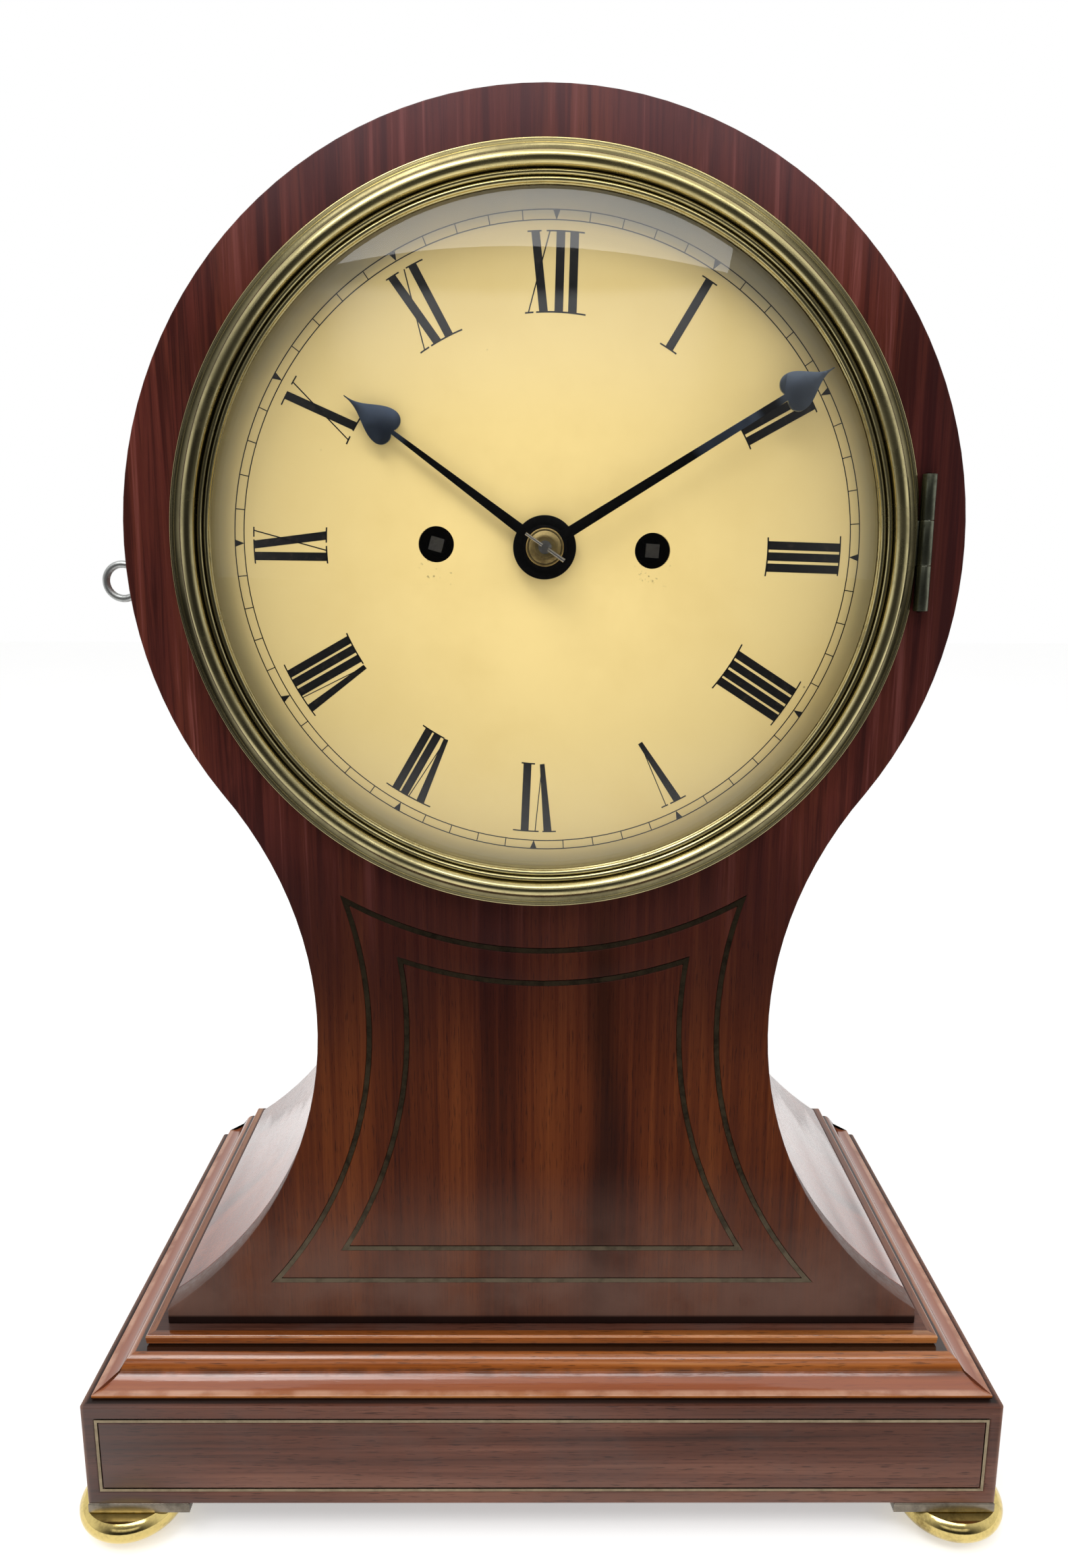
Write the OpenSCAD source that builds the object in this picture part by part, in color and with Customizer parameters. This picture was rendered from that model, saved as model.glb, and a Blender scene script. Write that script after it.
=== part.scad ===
// Balloon clock: mahogany balloon case on a moulded base, brass bezel and feet,
// eight-day double-fusee movement with anchor escapement and bell strike.
// Millimetres. X to the right, Y to the back, Z up; the floor is z = 0 under the middle of the base.

/* [Base] */
// Depth of the base block
base_d = 179; // [170:1:200]
// Height of the base block
base_h = 38.1; // [30:0.1:46]
// Width of the ledge in front of the moulding
ledge_w = 3; // [2:0.1:5]
// Height of the cyma moulding
mould_h = 9.8; // [8:0.1:14]
// Height of the thin upper step
step_h = 3.9; // [3:0.1:6]
// Set-back of the upper step from the block
step_inset = 17.2; // [15.6:0.1:19]
// Set-back of the case from the block
case_inset = 23.3; // [21:0.1:28]
// Set-back of the top board that carries the mouldings
core_inset = 20; // [19.2:0.1:20.8]

/* [Feet] */
// Side of the square foot plate
foot_plate = 34.5; // [28:0.5:40]
// Thickness of the foot plate
foot_plate_t = 3.7; // [2.5:0.1:5]
// Diameter of the bun foot
bun_d = 36.5; // [30:0.5:40]
// Height of the bun foot
bun_h = 12.5; // [10:0.5:18]
// Distance of the bun's centre inside the block's faces
bun_in = 11.5; // [9:0.5:14]

/* [Case] */
// Width of the wood round the bezel
rim_w = 14.5; // [12:0.5:18]
// Depth of the waist inside the side of the round top
waist_in = 52.9; // [46:0.1:56]
// Radius of the hollow curve at the waist
waist_r = 128.5; // [122:0.5:140]
// Height of the waist above the case foot
waist_h = 112; // [106:1:118]
// Height of the upright edge at the case foot
foot_edge = 5.5; // [4:0.5:8]
// Depth of the case from front to back
case_depth = 144; // [138:1:152]
// Thickness of the front board
board_t = 12; // [10:0.5:14]
// Thickness of the bent sides
side_t = 7; // [5:0.5:8]
// Gap between the dial and the edge of its opening
dial_gap = 1.5; // [1.2:0.1:2.5]
// Thickness of the back frame and door
back_t = 10; // [8:0.5:12]
// Width of the back frame round the door
frame_w = 21; // [18:0.5:24]

/* [Inlay] */
// Width of a brass string on the front
string_w = 1.6; // [1:0.1:2.2]
// Width of the brass string on the base
base_string_w = 1; // [0.6:0.1:1.4]
// Depth of a brass string
string_t = 0.8; // [0.5:0.1:1.5]
// Inset of the outer panel from the case edge
panel_outer = 16.5; // [14:0.5:20]
// Inset of the inner panel from the case edge
panel_inner = 29; // [26:0.5:34]
// Inset of the base string from the block's sides
base_string_side = 4.5; // [4:0.1:8]
// Inset of the base string from the block's top and bottom
base_string_top = 5; // [3:0.1:7]

/* [Bezel] */
// Sight radius of the bezel
sight_r = 100; // [90:0.5:110]
// Width of the bezel
bezel_w = 13.5; // [13:0.1:15]
// Height of the bezel's crest above the front
bezel_h = 9.2; // [8.6:0.1:11]
// Rise of the convex glass
glass_rise = 15; // [12:0.5:17]
// Thickness of the glass
glass_t = 2; // [1.5:0.1:2.2]
// Length of the bezel hinge
hinge_len = 40.5; // [36:0.5:46]
// Diameter of the hinge barrel
hinge_d = 4.4; // [4:0.1:5]
// Mean radius of the pull loop
loop_r = 5.55; // [5:0.05:6.5]
// Diameter of the loop's wire
loop_wire = 2.4; // [1.8:0.1:2.8]
// Height of the pull loop below the dial centre
loop_drop = 11; // [9:0.5:13]
// Distance of the catch bolt behind the front
bolt_back = 26; // [24:0.5:30]
// Travel of the catch bolt
bolt_travel = 3; // [2:0.1:3.2]

/* [Dial and hands] */
// Width of the dial's edge behind the bezel
dial_lap = 3; // [2:0.1:3.3]
// Thickness of the dial
dial_t = 1.5; // [1:0.1:2]
// Distance of the dial behind the front
dial_recess = 7; // [6:0.1:8]
// Turn of the dial and movement, clockwise, in degrees
tilt = 1.6; // [0:0.1:2]
// Distance of each winding hole from the dial centre
winding_x = 33.5; // [33:0.1:34.5]
// Diameter of a winding hole
winding_hole = 11; // [10:0.1:12]
// Side of a winding square
winding_sq = 4.2; // [3.8:0.1:5]
// Time shown, in minutes after twelve
shown_minutes = 609.5; // [0:0.5:719]
// Distance from the hour hand's tip to the sight edge
hour_short = 25.5; // [18:0.5:30]
// Distance from the minute hand's tip to the sight edge
minute_short = 1; // [0.5:0.5:12]

/* [Movement] */
// Half width of the plates
plate_half = 70; // [69:0.5:73]
// Height of the plates above the dial centre
plate_up = 78; // [77:0.5:80]
// Depth of the plates below the dial centre
plate_down = 72; // [71:0.5:74]
// Thickness of the plates
plate_t = 2.5; // [2:0.1:3]
// Distance between the plates
plate_gap = 48; // [48:0.5:52]
// Distance from the front of the case to the front plate
plate_y = 26.2; // [25.8:0.1:27]
// Radius of the spring barrels
barrel_r = 22; // [20:0.5:23]
// Large radius of the fusees
fusee_big = 18; // [16:0.5:19]
// Small radius of the fusees
fusee_small = 9; // [8:0.5:11]
// Diameter of the gut lines
gut_d = 1.2; // [1:0.1:1.4]
// Radius of the escape wheel
escape_r = 16.5; // [16:0.1:17]
// Swing of the pendulum to each side, in degrees
swing = 3; // [2:0.5:3]
// Length of the pendulum from its pivot to the middle of the bob
pendulum_len = 248; // [240:1:256]
// Diameter of the pendulum bob
bob_d = 48; // [40:1:54]
// Diameter of the bell at its mouth
bell_d = 76; // [70:1:80]

/* [Hidden] */
$fn = 64;

// Clearances
shaft_fit = 0.05;
wood_gap = 0.2;
cut = 1;

// Heights and depths of the case
foot_h = foot_plate_t + bun_h;
block_top = foot_h + base_h;
case_z = block_top + mould_h + step_h;
front_y = -base_d / 2 + case_inset;
board_back = front_y + board_t;
back_y = front_y + case_depth;
door_y = back_y - back_t;

// Balloon outline: the hollow waist curves touch the round top and run down to the foot
bezel_r = sight_r + bezel_w;
case_r = bezel_r + rim_w;
dial_r = sight_r + dial_lap;
opening_r = dial_r + dial_gap;
dial_h = waist_h + sqrt(2 * waist_in * (waist_r + case_r) - waist_in * waist_in);
dial_z = case_z + dial_h;
blend_overlap = 0.02;
hollow_r = waist_r + blend_overlap;
waist_x = case_r - waist_in + waist_r;
foot_half = waist_x - sqrt(hollow_r * hollow_r - (waist_h - foot_edge) * (waist_h - foot_edge));
blend_span = norm([waist_x, dial_h - waist_h]);
base_w = 2 * (foot_half + case_inset);

// Inside half width of the case at a height above its foot
function inner_half(h) = h < dial_h + (waist_h - dial_h) * (case_r - side_t) / blend_span
    ? waist_x - sqrt(pow(waist_r + side_t, 2) - pow(h - waist_h, 2))
    : sqrt(pow(case_r - side_t, 2) - pow(dial_h - h, 2));

// Bezel hinge and catch
hinge_x = bezel_r + 1.4;
hinge_z = dial_z + 1.4;
hinge_y = front_y - hinge_d / 2 - wood_gap;
hinge_pin_r = 1;
loop_x = -case_r - bolt_travel - 0.5 - loop_r - loop_wire / 2;
bolt_y = front_y + bolt_back;
bolt_z = dial_z - loop_drop;
bolt_r = 1.5;
tongue_x = -bezel_r + 5;
tongue_t = 2;
tongue_half = 3.5;

// Dial and hands, from the front of the case
dial_y = front_y + dial_recess;
hour_hand_y = dial_y - 4;
minute_hand_y = dial_y - 8.8;
hand_t = 1.2;
collet_y = minute_hand_y - 0.1;
collet_h = 3.2;
hour_len = sight_r - hour_short;
minute_len = sight_r - minute_short;
minute_angle = (shown_minutes % 60) * 6;
hour_angle = shown_minutes * 0.5;

// Movement: depth of each layer, measured back from the inside of the front plate
plate_front = front_y + plate_y;
inside = plate_front + plate_t;
back_inside = inside + plate_gap;
back_face = back_inside + plate_t;
centre_layer = [inside + 3, inside + 4.8];
fusee_layer = [inside + 9, inside + 33];
great_layer = [inside + 34.5, inside + 36.7];
strike_layer = [inside + 37.5, inside + 39.6];
third_layer = [inside + 41, inside + 42.6];
escape_layer = [inside + 36, inside + 37.5];
pin_layer = [inside + 43.4, inside + 45];
gathering_layer = [inside + 29, inside + 30.5];
warning_layer = [inside + 20, inside + 21.5];
fly_layer = [inside + 4, inside + 15];
bell_y = inside + 25;
motion_layer = [plate_front - 4, plate_front - 2.2];
hour_layer = [plate_front - 9.6, plate_front - 8];
rod_y = back_face + 12.5;

// Trains: teeth
great_n = 96;
centre_pinion_n = 8;
centre_n = 84;
third_pinion_n = 7;
third_n = 70;
escape_pinion_n = 7;
escape_n = 30;
pin_n = 56;
pin_pinion_n = 8;
gathering_n = 56;
gathering_pinion_n = 7;
warning_n = 48;
warning_pinion_n = 7;
fly_pinion_n = 6;
cannon_n = 36;
hour_n = 72;
hour_pinion_n = 6;

// Trains: tooth sizes (pitch diameter over teeth) and centre distances
great_m = 2 * winding_x / (great_n + centre_pinion_n);
centre_m = 0.55;
third_m = 0.5;
pin_m = 0.6;
gathering_m = 0.5;
warning_m = 0.45;
cannon_m = 0.5;
motion_dist = cannon_m * cannon_n;
hour_m = 2 * motion_dist / (hour_n + hour_pinion_n);

function polar(d, a) = [d * cos(a), d * sin(a)];
function mesh_dist(m, n1, n2) = m * (n1 + n2) / 2;
function bearing(p, q) = atan2(q[1] - p[1], q[0] - p[0]);

// A place on the movement, seen from the untilted case
function turn_with_dial(p) = [p[0] * cos(tilt) + p[1] * sin(tilt), p[1] * cos(tilt) - p[0] * sin(tilt)];

// Trains: arbor places from the dial centre, [right, up]
centre_at = [0, 0];
going_at = [winding_x, 0];
strike_at = [-winding_x, 0];
going_barrel_at = [42, -44];
strike_barrel_at = [-42, -44];
third_at = polar(mesh_dist(centre_m, centre_n, third_pinion_n), 78);
escape_dist = mesh_dist(third_m, third_n, escape_pinion_n);
escape_at = [0, third_at[1] + sqrt(escape_dist * escape_dist - third_at[0] * third_at[0])];
anchor_at = [0, escape_at[1] + escape_r * sqrt(2)];
pin_at = strike_at + polar(winding_x, 100);
gathering_at = pin_at + polar(mesh_dist(pin_m, pin_n, gathering_pinion_n), 50);
warning_at = gathering_at + polar(mesh_dist(gathering_m, gathering_n, warning_pinion_n), 85);
fly_at = warning_at + polar(mesh_dist(warning_m, warning_n, fly_pinion_n), 150);
hammer_at = [-60, 41];
minute_at = polar(motion_dist, -60);
pillar_at = [[-63, -66], [63, -66], [-63, 70], [63, 70], [0, -64]];
pillar_r = 4.5;
dial_foot_at = [[-50, -56], [50, -56], [-58, 48], [58, 48]];
dial_foot_r = 2.2;
arbor_r = 1.5;
pivot_r = 0.8;
cannon_r = 3;
centre_arbor_r = 2;
pipe_r = 4.2;
fusee_arbor_r = 4;
bell_post_r = 2.5;

// A flat shape drawn in [right, up] and given thickness from y0 to y1
module slab(y0, y1) translate([0, y1, 0]) rotate([90, 0, 0]) linear_extrude(y1 - y0) children();

// A round bar along Y
module rod(at, y0, y1, r) translate([at[0], y0, at[1]]) rotate([-90, 0, 0]) cylinder(r = r, h = y1 - y0);

// A profile of [radius, y] points turned about an axis along Y
module turned(at, points) translate([at[0], 0, at[1]]) rotate([-90, 0, 0]) rotate_extrude() polygon(points);

module in_case() translate([0, 0, case_z]) children();

module in_dial() translate([0, 0, dial_z]) children();

module in_movement() in_dial() rotate([0, tilt, 0]) children();

// Points on an arc, from angle a0 to a1
function arc(c, r, a0, a1, n) = [for (i = [0:n]) c + polar(r, a0 + (a1 - a0) * i / n)];

// Balloon outline, drawn inwards by inset, with its bottom at z0
module outline(inset, z0 = 0) {
    half = foot_half - inset + blend_overlap;
    touch = [waist_x, waist_h - dial_h] * (case_r - inset - blend_overlap / 2) / blend_span + [0, dial_h];
    difference() {
        union() {
            translate([0, dial_h]) circle(r = case_r - inset);
            polygon([[-half, z0], [half, z0], [half, foot_edge], touch,
                [-touch[0], touch[1]], [-half, foot_edge]]);
        }
        for (side = [-1, 1]) translate([side * waist_x, waist_h]) circle(r = hollow_r + inset);
    }
}

// Three mitred lengths round the front and sides of the base; the section is [set-back, height]
module mitred(section) {
    half_w = base_w / 2;
    half_d = base_d / 2;
    far = base_w;
    intersection() {
        translate([-half_w, -half_d, 0]) rotate([90, 0, 90]) linear_extrude(base_w) polygon(section);
        linear_extrude(far) polygon([[-half_w, -half_d], [half_w, -half_d], [0, half_w - half_d]]);
    }
    for (side = [-1, 1]) intersection() {
        translate([side * half_w, half_d, 0]) rotate([90, 0, 0]) linear_extrude(base_d)
            polygon([for (p = section) [-side * p[0], p[1]]]);
        linear_extrude(far) polygon([[side * half_w, -half_d + 0.02], [side * half_w, half_d],
            [0, half_d], [0, half_w - half_d + 0.02]]);
    }
}

// Base

module base_block() color("saddlebrown") difference() {
    translate([-base_w / 2, -base_d / 2, foot_h]) cube([base_w, base_d, base_h]);
    base_string_cut();
}

module base_top() color("sienna")
    translate([core_inset - base_w / 2, core_inset - base_d / 2, block_top])
    cube([base_w - 2 * core_inset, base_d - core_inset, mould_h + step_h]);

// Cyma: upright fillet, hollow below, round above and a narrow flat under the step
module cyma_moulding() color("chocolate") {
    fillet = 2;
    reach = step_inset - 2.3 - ledge_w;
    hollow = [reach * 0.63, (mould_h - fillet) * 0.42];
    round = [reach - hollow[0], mould_h - fillet - hollow[1]];
    foot = [ledge_w, block_top + fillet];
    mitred(concat([[ledge_w, block_top]],
        [for (i = [0:8]) let (a = 60 * i / 8)
            foot + [hollow[0] * sin(a) / sin(60), hollow[1] * (1 - cos(a)) / (1 - cos(60))]],
        [for (i = [1:8]) let (a = 20 + 70 * i / 8)
            foot + hollow + [round[0] * (1 - cos(a) / cos(20)), round[1] * (sin(a) - sin(20))
                / (1 - sin(20))]],
        [[core_inset, block_top + mould_h], [core_inset, block_top]]));
}

module step_moulding() color("sienna") {
    bottom = block_top + mould_h;
    nose = step_h / 2 - 0.4;
    edge = arc([step_inset + nose, bottom + step_h / 2], nose, 270, 90, 8);
    mitred(concat([[core_inset, bottom], [step_inset + nose, bottom]], edge,
        [[step_inset + nose, bottom + step_h], [core_inset, bottom + step_h]]));
}

module feet() color("darkkhaki") for (sx = [-1, 1]) for (sy = [-1, 1]) {
    corner = [sx * base_w / 2, sy * base_d / 2];
    bulge = bun_d * 0.3;
    middle = bun_h * 0.69;
    half = bun_h * 0.515;
    top = asin((bun_h - middle) / half);
    translate([corner[0] - sx * foot_plate / 2, corner[1] - sy * foot_plate / 2, bun_h + foot_plate_t / 2])
        cube([foot_plate, foot_plate, foot_plate_t], center = true);
    translate([corner[0] - sx * bun_in, corner[1] - sy * bun_in, 0]) rotate_extrude()
        polygon(concat([[0, 0], [bun_d * 0.25, 0]],
            [for (i = [0:12]) let (a = -80 + (top + 80) * i / 12)
                [bun_d / 2 - bulge + bulge * cos(a), middle + half * sin(a)]],
            [[0, bun_h]]));
}

// Brass strings, let into the front board and the base

module panel(inset, arc_r, bottom) intersection() {
    difference() {
        outline(inset);
        translate([0, dial_h]) circle(r = arc_r);
    }
    translate([-case_r, bottom]) square([2 * case_r, dial_h]);
}

module panel_line(inset, arc_r, bottom, spare) difference() {
    panel(inset - spare, arc_r - spare, bottom - spare);
    panel(inset + string_w + spare, arc_r + string_w + spare, bottom + string_w + spare);
}

module panel_lines(spare) {
    panel_line(panel_outer, case_r + 0.6, panel_outer, spare);
    panel_line(panel_inner, case_r + panel_inner - panel_outer - 0.6, panel_inner, spare);
}

module base_line(spare) translate([0, foot_h]) difference() {
    translate([base_string_side - spare - base_w / 2, base_string_top - spare])
        square([base_w - 2 * base_string_side + 2 * spare, base_h - 2 * base_string_top + 2 * spare]);
    translate([base_string_side + base_string_w + spare - base_w / 2, base_string_top + base_string_w +
        spare])
        square([base_w - 2 * (base_string_side + base_string_w + spare),
            base_h - 2 * (base_string_top + base_string_w + spare)]);
}

module base_string_cut() slab(-base_d / 2 - cut, -base_d / 2 + string_t) base_line(0);

module brass_stringing() color("darkkhaki") {
    in_case() slab(front_y, front_y + string_t) panel_lines(0);
    slab(-base_d / 2, -base_d / 2 + string_t) base_line(0);
}

// Case

module case_front() color("firebrick") difference() {
    in_case() slab(front_y, board_back) difference() {
        outline(0);
        translate([0, dial_h]) circle(r = opening_r);
    }
    in_case() slab(front_y - cut, front_y + string_t) panel_lines(0);
    hinge_leaf_seat(wood_gap);
    in_dial() translate([tongue_x - 2.6, front_y - cut, -loop_drop - tongue_half - 0.5])
        cube([tongue_t + 3.6, board_t + 2 * cut, 2 * tongue_half + 1]);
}

module case_sides() color("brown") difference() {
    in_case() slab(board_back, back_y) difference() {
        outline(0);
        outline(side_t, -cut);
    }
    translate([-case_r - cut, bolt_y, bolt_z]) rotate([0, 90, 0]) cylinder(r = bolt_r + 0.1, h = case_r / 2);
}

module door_shape(inset) intersection() {
    outline(side_t + wood_gap + frame_w + inset);
    translate([-case_r, side_t + frame_w + inset]) square([2 * case_r, 2 * dial_h]);
}

module back_frame() color("saddlebrown") difference() {
    in_case() slab(door_y, back_y) difference() {
        outline(side_t + wood_gap);
        door_shape(0);
    }
    door_hinge_pockets();
    door_bolt_pocket();
}

door_gap = 0.6;
door_half = case_r - side_t - wood_gap - frame_w - door_gap;
door_hinge_x = door_half + door_gap / 2;
door_hinge_y = back_y + 2.6;
door_hinge_r = 2.4;
door_hinge_len = 30;
door_hinge_rise = 24;
leaf_t = 1.2;
leaf_w = 8;

module back_door() color("saddlebrown") difference() {
    in_case() slab(door_y + 0.5, back_y) door_shape(door_gap);
    door_lock_seat(wood_gap);
    door_hinge_pockets();
    door_bolt_pocket();
}

// Space cut for the door hinge leaves, on both sides of the joint
module door_hinge_pockets() for (rise = [-1, 1])
    translate([door_hinge_x - 9.5, back_y - leaf_t - 0.05, dial_z +
        rise * door_hinge_rise - door_hinge_len / 2 - 0.2])
        cube([21, leaf_t + cut, door_hinge_len + 0.4]);

module door_hinge_leaf(side) for (rise = [-1, 1]) {
    mid = dial_z + rise * door_hinge_rise;
    third = door_hinge_len / 3;
    steps = side > 0 ? [-1, 1] : [0];
    translate([side > 0 ? door_hinge_x + 0.5 : door_hinge_x - 9, back_y - leaf_t, mid - door_hinge_len / 2])
        cube([side > 0 ? 10.5 : 8.5, leaf_t, door_hinge_len]);
    for (step = steps) translate([door_hinge_x, door_hinge_y, mid + step * third - third / 2 + 0.1])
        difference() {
        union() {
            cylinder(r = door_hinge_r, h = third - 0.2);
            translate([side > 0 ? 0.5 : -4, -door_hinge_y + back_y - leaf_t, 0]) cube([3.5, leaf_t +
                1.2, third - 0.2]);
        }
        translate([0, 0, -cut]) cylinder(r = hinge_pin_r + shaft_fit, h = door_hinge_len);
    }
}

module door_hinge_leaves() color("darkkhaki") door_hinge_leaf(1);

module door_hinge_straps() color("darkkhaki") door_hinge_leaf(-1);

module door_hinge_pins() color("gray") for (rise = [-1, 1])
    translate([door_hinge_x, door_hinge_y, dial_z + rise * door_hinge_rise - door_hinge_len / 2])
    cylinder(r = hinge_pin_r, h = door_hinge_len);

// Door lock, on the inside of the free edge, its bolt drawn back
lock_w = 30;
lock_h = 36;
lock_t = 7;
lock_x = -door_half + 4;
lock_bolt_h = 8;
lock_bolt_t = 3;
lock_throw = 5;

module door_lock_seat(spare) translate([lock_x - spare, door_y - cut, dial_z - lock_h / 2 - spare])
    cube([lock_w + 2 * spare, lock_t + cut + spare, lock_h + 2 * spare]);

module door_lock() color("darkkhaki") difference() {
    translate([lock_x, door_y + 0.5, dial_z - lock_h / 2]) cube([lock_w, lock_t - 0.5, lock_h]);
    translate([lock_x - cut, door_y + 2, dial_z - lock_bolt_h / 2 - 0.15])
        cube([lock_w - 6, lock_bolt_t + 0.3, lock_bolt_h + 0.3]);
}

module door_bolt() color("gray") translate([lock_x, door_y + 2.15, dial_z - lock_bolt_h / 2])
    cube([lock_w - 12, lock_bolt_t, lock_bolt_h]);

// Mortise for the bolt through the door edge and into the frame
module door_bolt_pocket() translate([lock_x - lock_throw - 6, door_y + 1.8, dial_z - lock_bolt_h / 2 - 0.4])
    cube([lock_throw + 6, lock_bolt_t + 0.7, lock_bolt_h + 0.8]);

// Seat of the movement

seat_t = 10;
rail_t = 12;
rail_w = 9;
seat_top = -plate_down;
seat_drop = plate_half * sin(tilt) + 0.1;
seat_low = seat_top - seat_drop - seat_t;
seat_half = inner_half(dial_h + seat_low) - 5;
rail_x = inner_half(dial_h + seat_low - rail_t) - rail_w;
seat_front = inside - plate_t - 4;
seat_back = back_face + 1;
bolt_at = [pillar_at[0], pillar_at[1]];
seat_bolt_r = 2;
bolt_head_r = 3.6;

module seat_board() color("peru") in_dial() difference() {
    translate([-seat_half, seat_front, seat_low])
        cube([2 * seat_half, seat_back - seat_front, seat_t]);
    for (at = bolt_at) translate([turn_with_dial(at)[0], bell_y, -dial_h])
        cylinder(r = seat_bolt_r + 0.2, h = dial_h);
}

module seat_rails() color("peru") difference() {
    intersection() {
        in_case() slab(seat_front, seat_back) outline(side_t + 0.05);
        for (side = [-1, 1]) in_dial()
            translate([side > 0 ? rail_x : -rail_x - case_r, seat_front, seat_low - rail_t])
            cube([case_r, seat_back - seat_front, rail_t]);
    }
    in_dial() for (at = bolt_at) translate([turn_with_dial(at)[0], bell_y, seat_low - rail_t - cut])
        cylinder(r = bolt_head_r + wood_gap, h = rail_t + 2 * cut);
}

// Screws up through the seat board into the lower pillars
module seat_bolts() color("gray") in_dial() for (at = bolt_at) {
    place = turn_with_dial(at);
    translate([place[0], bell_y, seat_low]) cylinder(r = seat_bolt_r, h = place[1] - 1 - seat_low);
    translate([place[0], bell_y, seat_low - 3]) cylinder(r = bolt_head_r, h = 3);
}

// Bezel and glass

// Section of the bezel: [radius, distance in front of the case]
lip = 3.4;
rebate_r = sight_r + 4.8;
glass_r = rebate_r - 0.3;
glass_y = front_y - lip + 0.15;
dome_r = (glass_r * glass_r + glass_rise * glass_rise) / (2 * glass_rise);
lip_rise = sqrt(dome_r * dome_r - sight_r * sight_r) - sqrt(dome_r * dome_r - glass_r * glass_r);
bezel_section = concat(
    [[rebate_r, wood_gap], [bezel_r, wood_gap], [bezel_r, 1.3], [bezel_r - 0.3, 1.6], [bezel_r - 0.75, 1.6],
        [bezel_r - 0.75, 2.2], [bezel_r - 1.15, 2.6], [bezel_r - 1.7, 2.6]],
    arc([bezel_r - 1.75, 6.45], 3.35, 265, 184, 6),
    arc([bezel_r - 7.2, bezel_h - 2.25], 2.25, 0, 165, 10),
    [[bezel_r - 9.6, bezel_h - 3]],
    arc([bezel_r - 10.5, bezel_h - 3], 0.8, 20, 165, 4),
    [[bezel_r - 11.5, bezel_h - 3.5]],
    arc([bezel_r - 12.4, bezel_h - 3.5], 0.85, 10, 180, 5),
    [[sight_r, bezel_h - 3.8], [sight_r, lip + lip_rise], [rebate_r, lip]]);

module bezel() color("darkkhaki") difference() {
    union() {
        turned([0, dial_z], [for (p = bezel_section) [p[0], front_y - p[1]]]);
        translate([tongue_x, front_y - 2, bolt_z - tongue_half])
            cube([tongue_t, bolt_back + 5, 2 * tongue_half]);
    }
    translate([tongue_x - cut, bolt_y, bolt_z]) rotate([0, 90, 0])
        cylinder(r = bolt_r + 0.4, h = tongue_t + 2 * cut);
    translate([hinge_x, hinge_y, hinge_z - hinge_len / 2 - 0.5])
        cylinder(r = hinge_d / 2 + 0.5, h = hinge_len + 1);
    translate([bezel_r - 9.2, front_y - 2.6, hinge_z - hinge_len / 6 - 0.2])
        cube([9.2, 2.8, hinge_len / 3 + 0.4]);
}

// Convex glass: points of its section out along the front and back in along the back
dome_steps = 16;
function dome(r, y) = [r, y - glass_rise + dome_r - sqrt(dome_r * dome_r - r * r)];

module bezel_glass() color("lightblue", 0.4) turned([0, dial_z], concat(
    [for (i = [0:dome_steps]) dome(glass_r * i / dome_steps, glass_y)],
    [for (i = [dome_steps:-1:0]) dome(glass_r * i / dome_steps, glass_y + glass_t)]));

// Bezel hinge: two end knuckles on the case leaf, the middle one on the bezel leaf
module hinge_leaf_seat(spare) translate([hinge_x, front_y - cut, hinge_z - hinge_len / 2 - spare])
    cube([0.4 + leaf_t + spare, cut + leaf_w + spare, hinge_len + 2 * spare]);

module knuckle(z0, h) translate([hinge_x, hinge_y, z0]) difference() {
    children();
    translate([0, 0, -cut]) cylinder(r = hinge_pin_r + shaft_fit, h = h + 2 * cut);
}

module hinge_case_leaf() color("olive") {
    third = hinge_len / 3;
    translate([hinge_x + 0.4, front_y, hinge_z - hinge_len / 2]) cube([leaf_t, leaf_w, hinge_len]);
    for (step = [-1, 1]) knuckle(hinge_z + step * third - third / 2 + 0.05, third - 0.1) {
        cylinder(r = hinge_d / 2, h = third - 0.1);
        translate([0.4, 0, 0]) cube([leaf_t, front_y + leaf_t - hinge_y, third - 0.1]);
    }
}

module hinge_bezel_leaf() color("olive") {
    third = hinge_len / 3;
    knuckle(hinge_z - third / 2 + 0.1, third - 0.2) {
        cylinder(r = hinge_d / 2, h = third - 0.2);
        translate([-10, 0.3, 0]) cube([10, 1.4, third - 0.2]);
    }
}

module hinge_pin() color("gray") translate([hinge_x, hinge_y, hinge_z - hinge_len / 2])
    cylinder(r = hinge_pin_r, h = hinge_len);

// Catch bolt, drawn out, with its wire pull loop
module catch_bolt() color("gray") {
    tip = tongue_x - 1;
    translate([loop_x, bolt_y, bolt_z]) rotate([90, 0, 0]) rotate_extrude()
        translate([loop_r, 0]) circle(d = loop_wire);
    translate([loop_x + loop_r, bolt_y, bolt_z]) rotate([0, 90, 0])
        cylinder(r = bolt_r, h = tip - loop_x - loop_r);
}

module bolt_guide() color("darkkhaki") difference() {
    translate([tongue_x - 10, board_back, bolt_z - 6]) cube([5, bolt_back - board_t + 5, 12]);
    translate([-case_r, bolt_y, bolt_z]) rotate([0, 90, 0]) cylinder(r = bolt_r + shaft_fit, h = case_r / 2);
}

// Dial and hands

module dial() color("ivory") in_movement() {
    slab(dial_y, dial_y + dial_t) difference() {
        circle(r = dial_r);
        circle(r = 5.6);
        for (side = [-1, 1]) translate([side * winding_x, 0]) circle(d = winding_hole);
    }
    for (at = dial_foot_at) rod(at, dial_y + dial_t - 0.2, inside + 2, dial_foot_r);
}

// Half width of a spade's flank, as a share: full at the lobes and drawn out to a point
function flank(t) = 0.03 + 0.97 * pow((1 + cos(180 * t)) / 2, 1.2);

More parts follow.
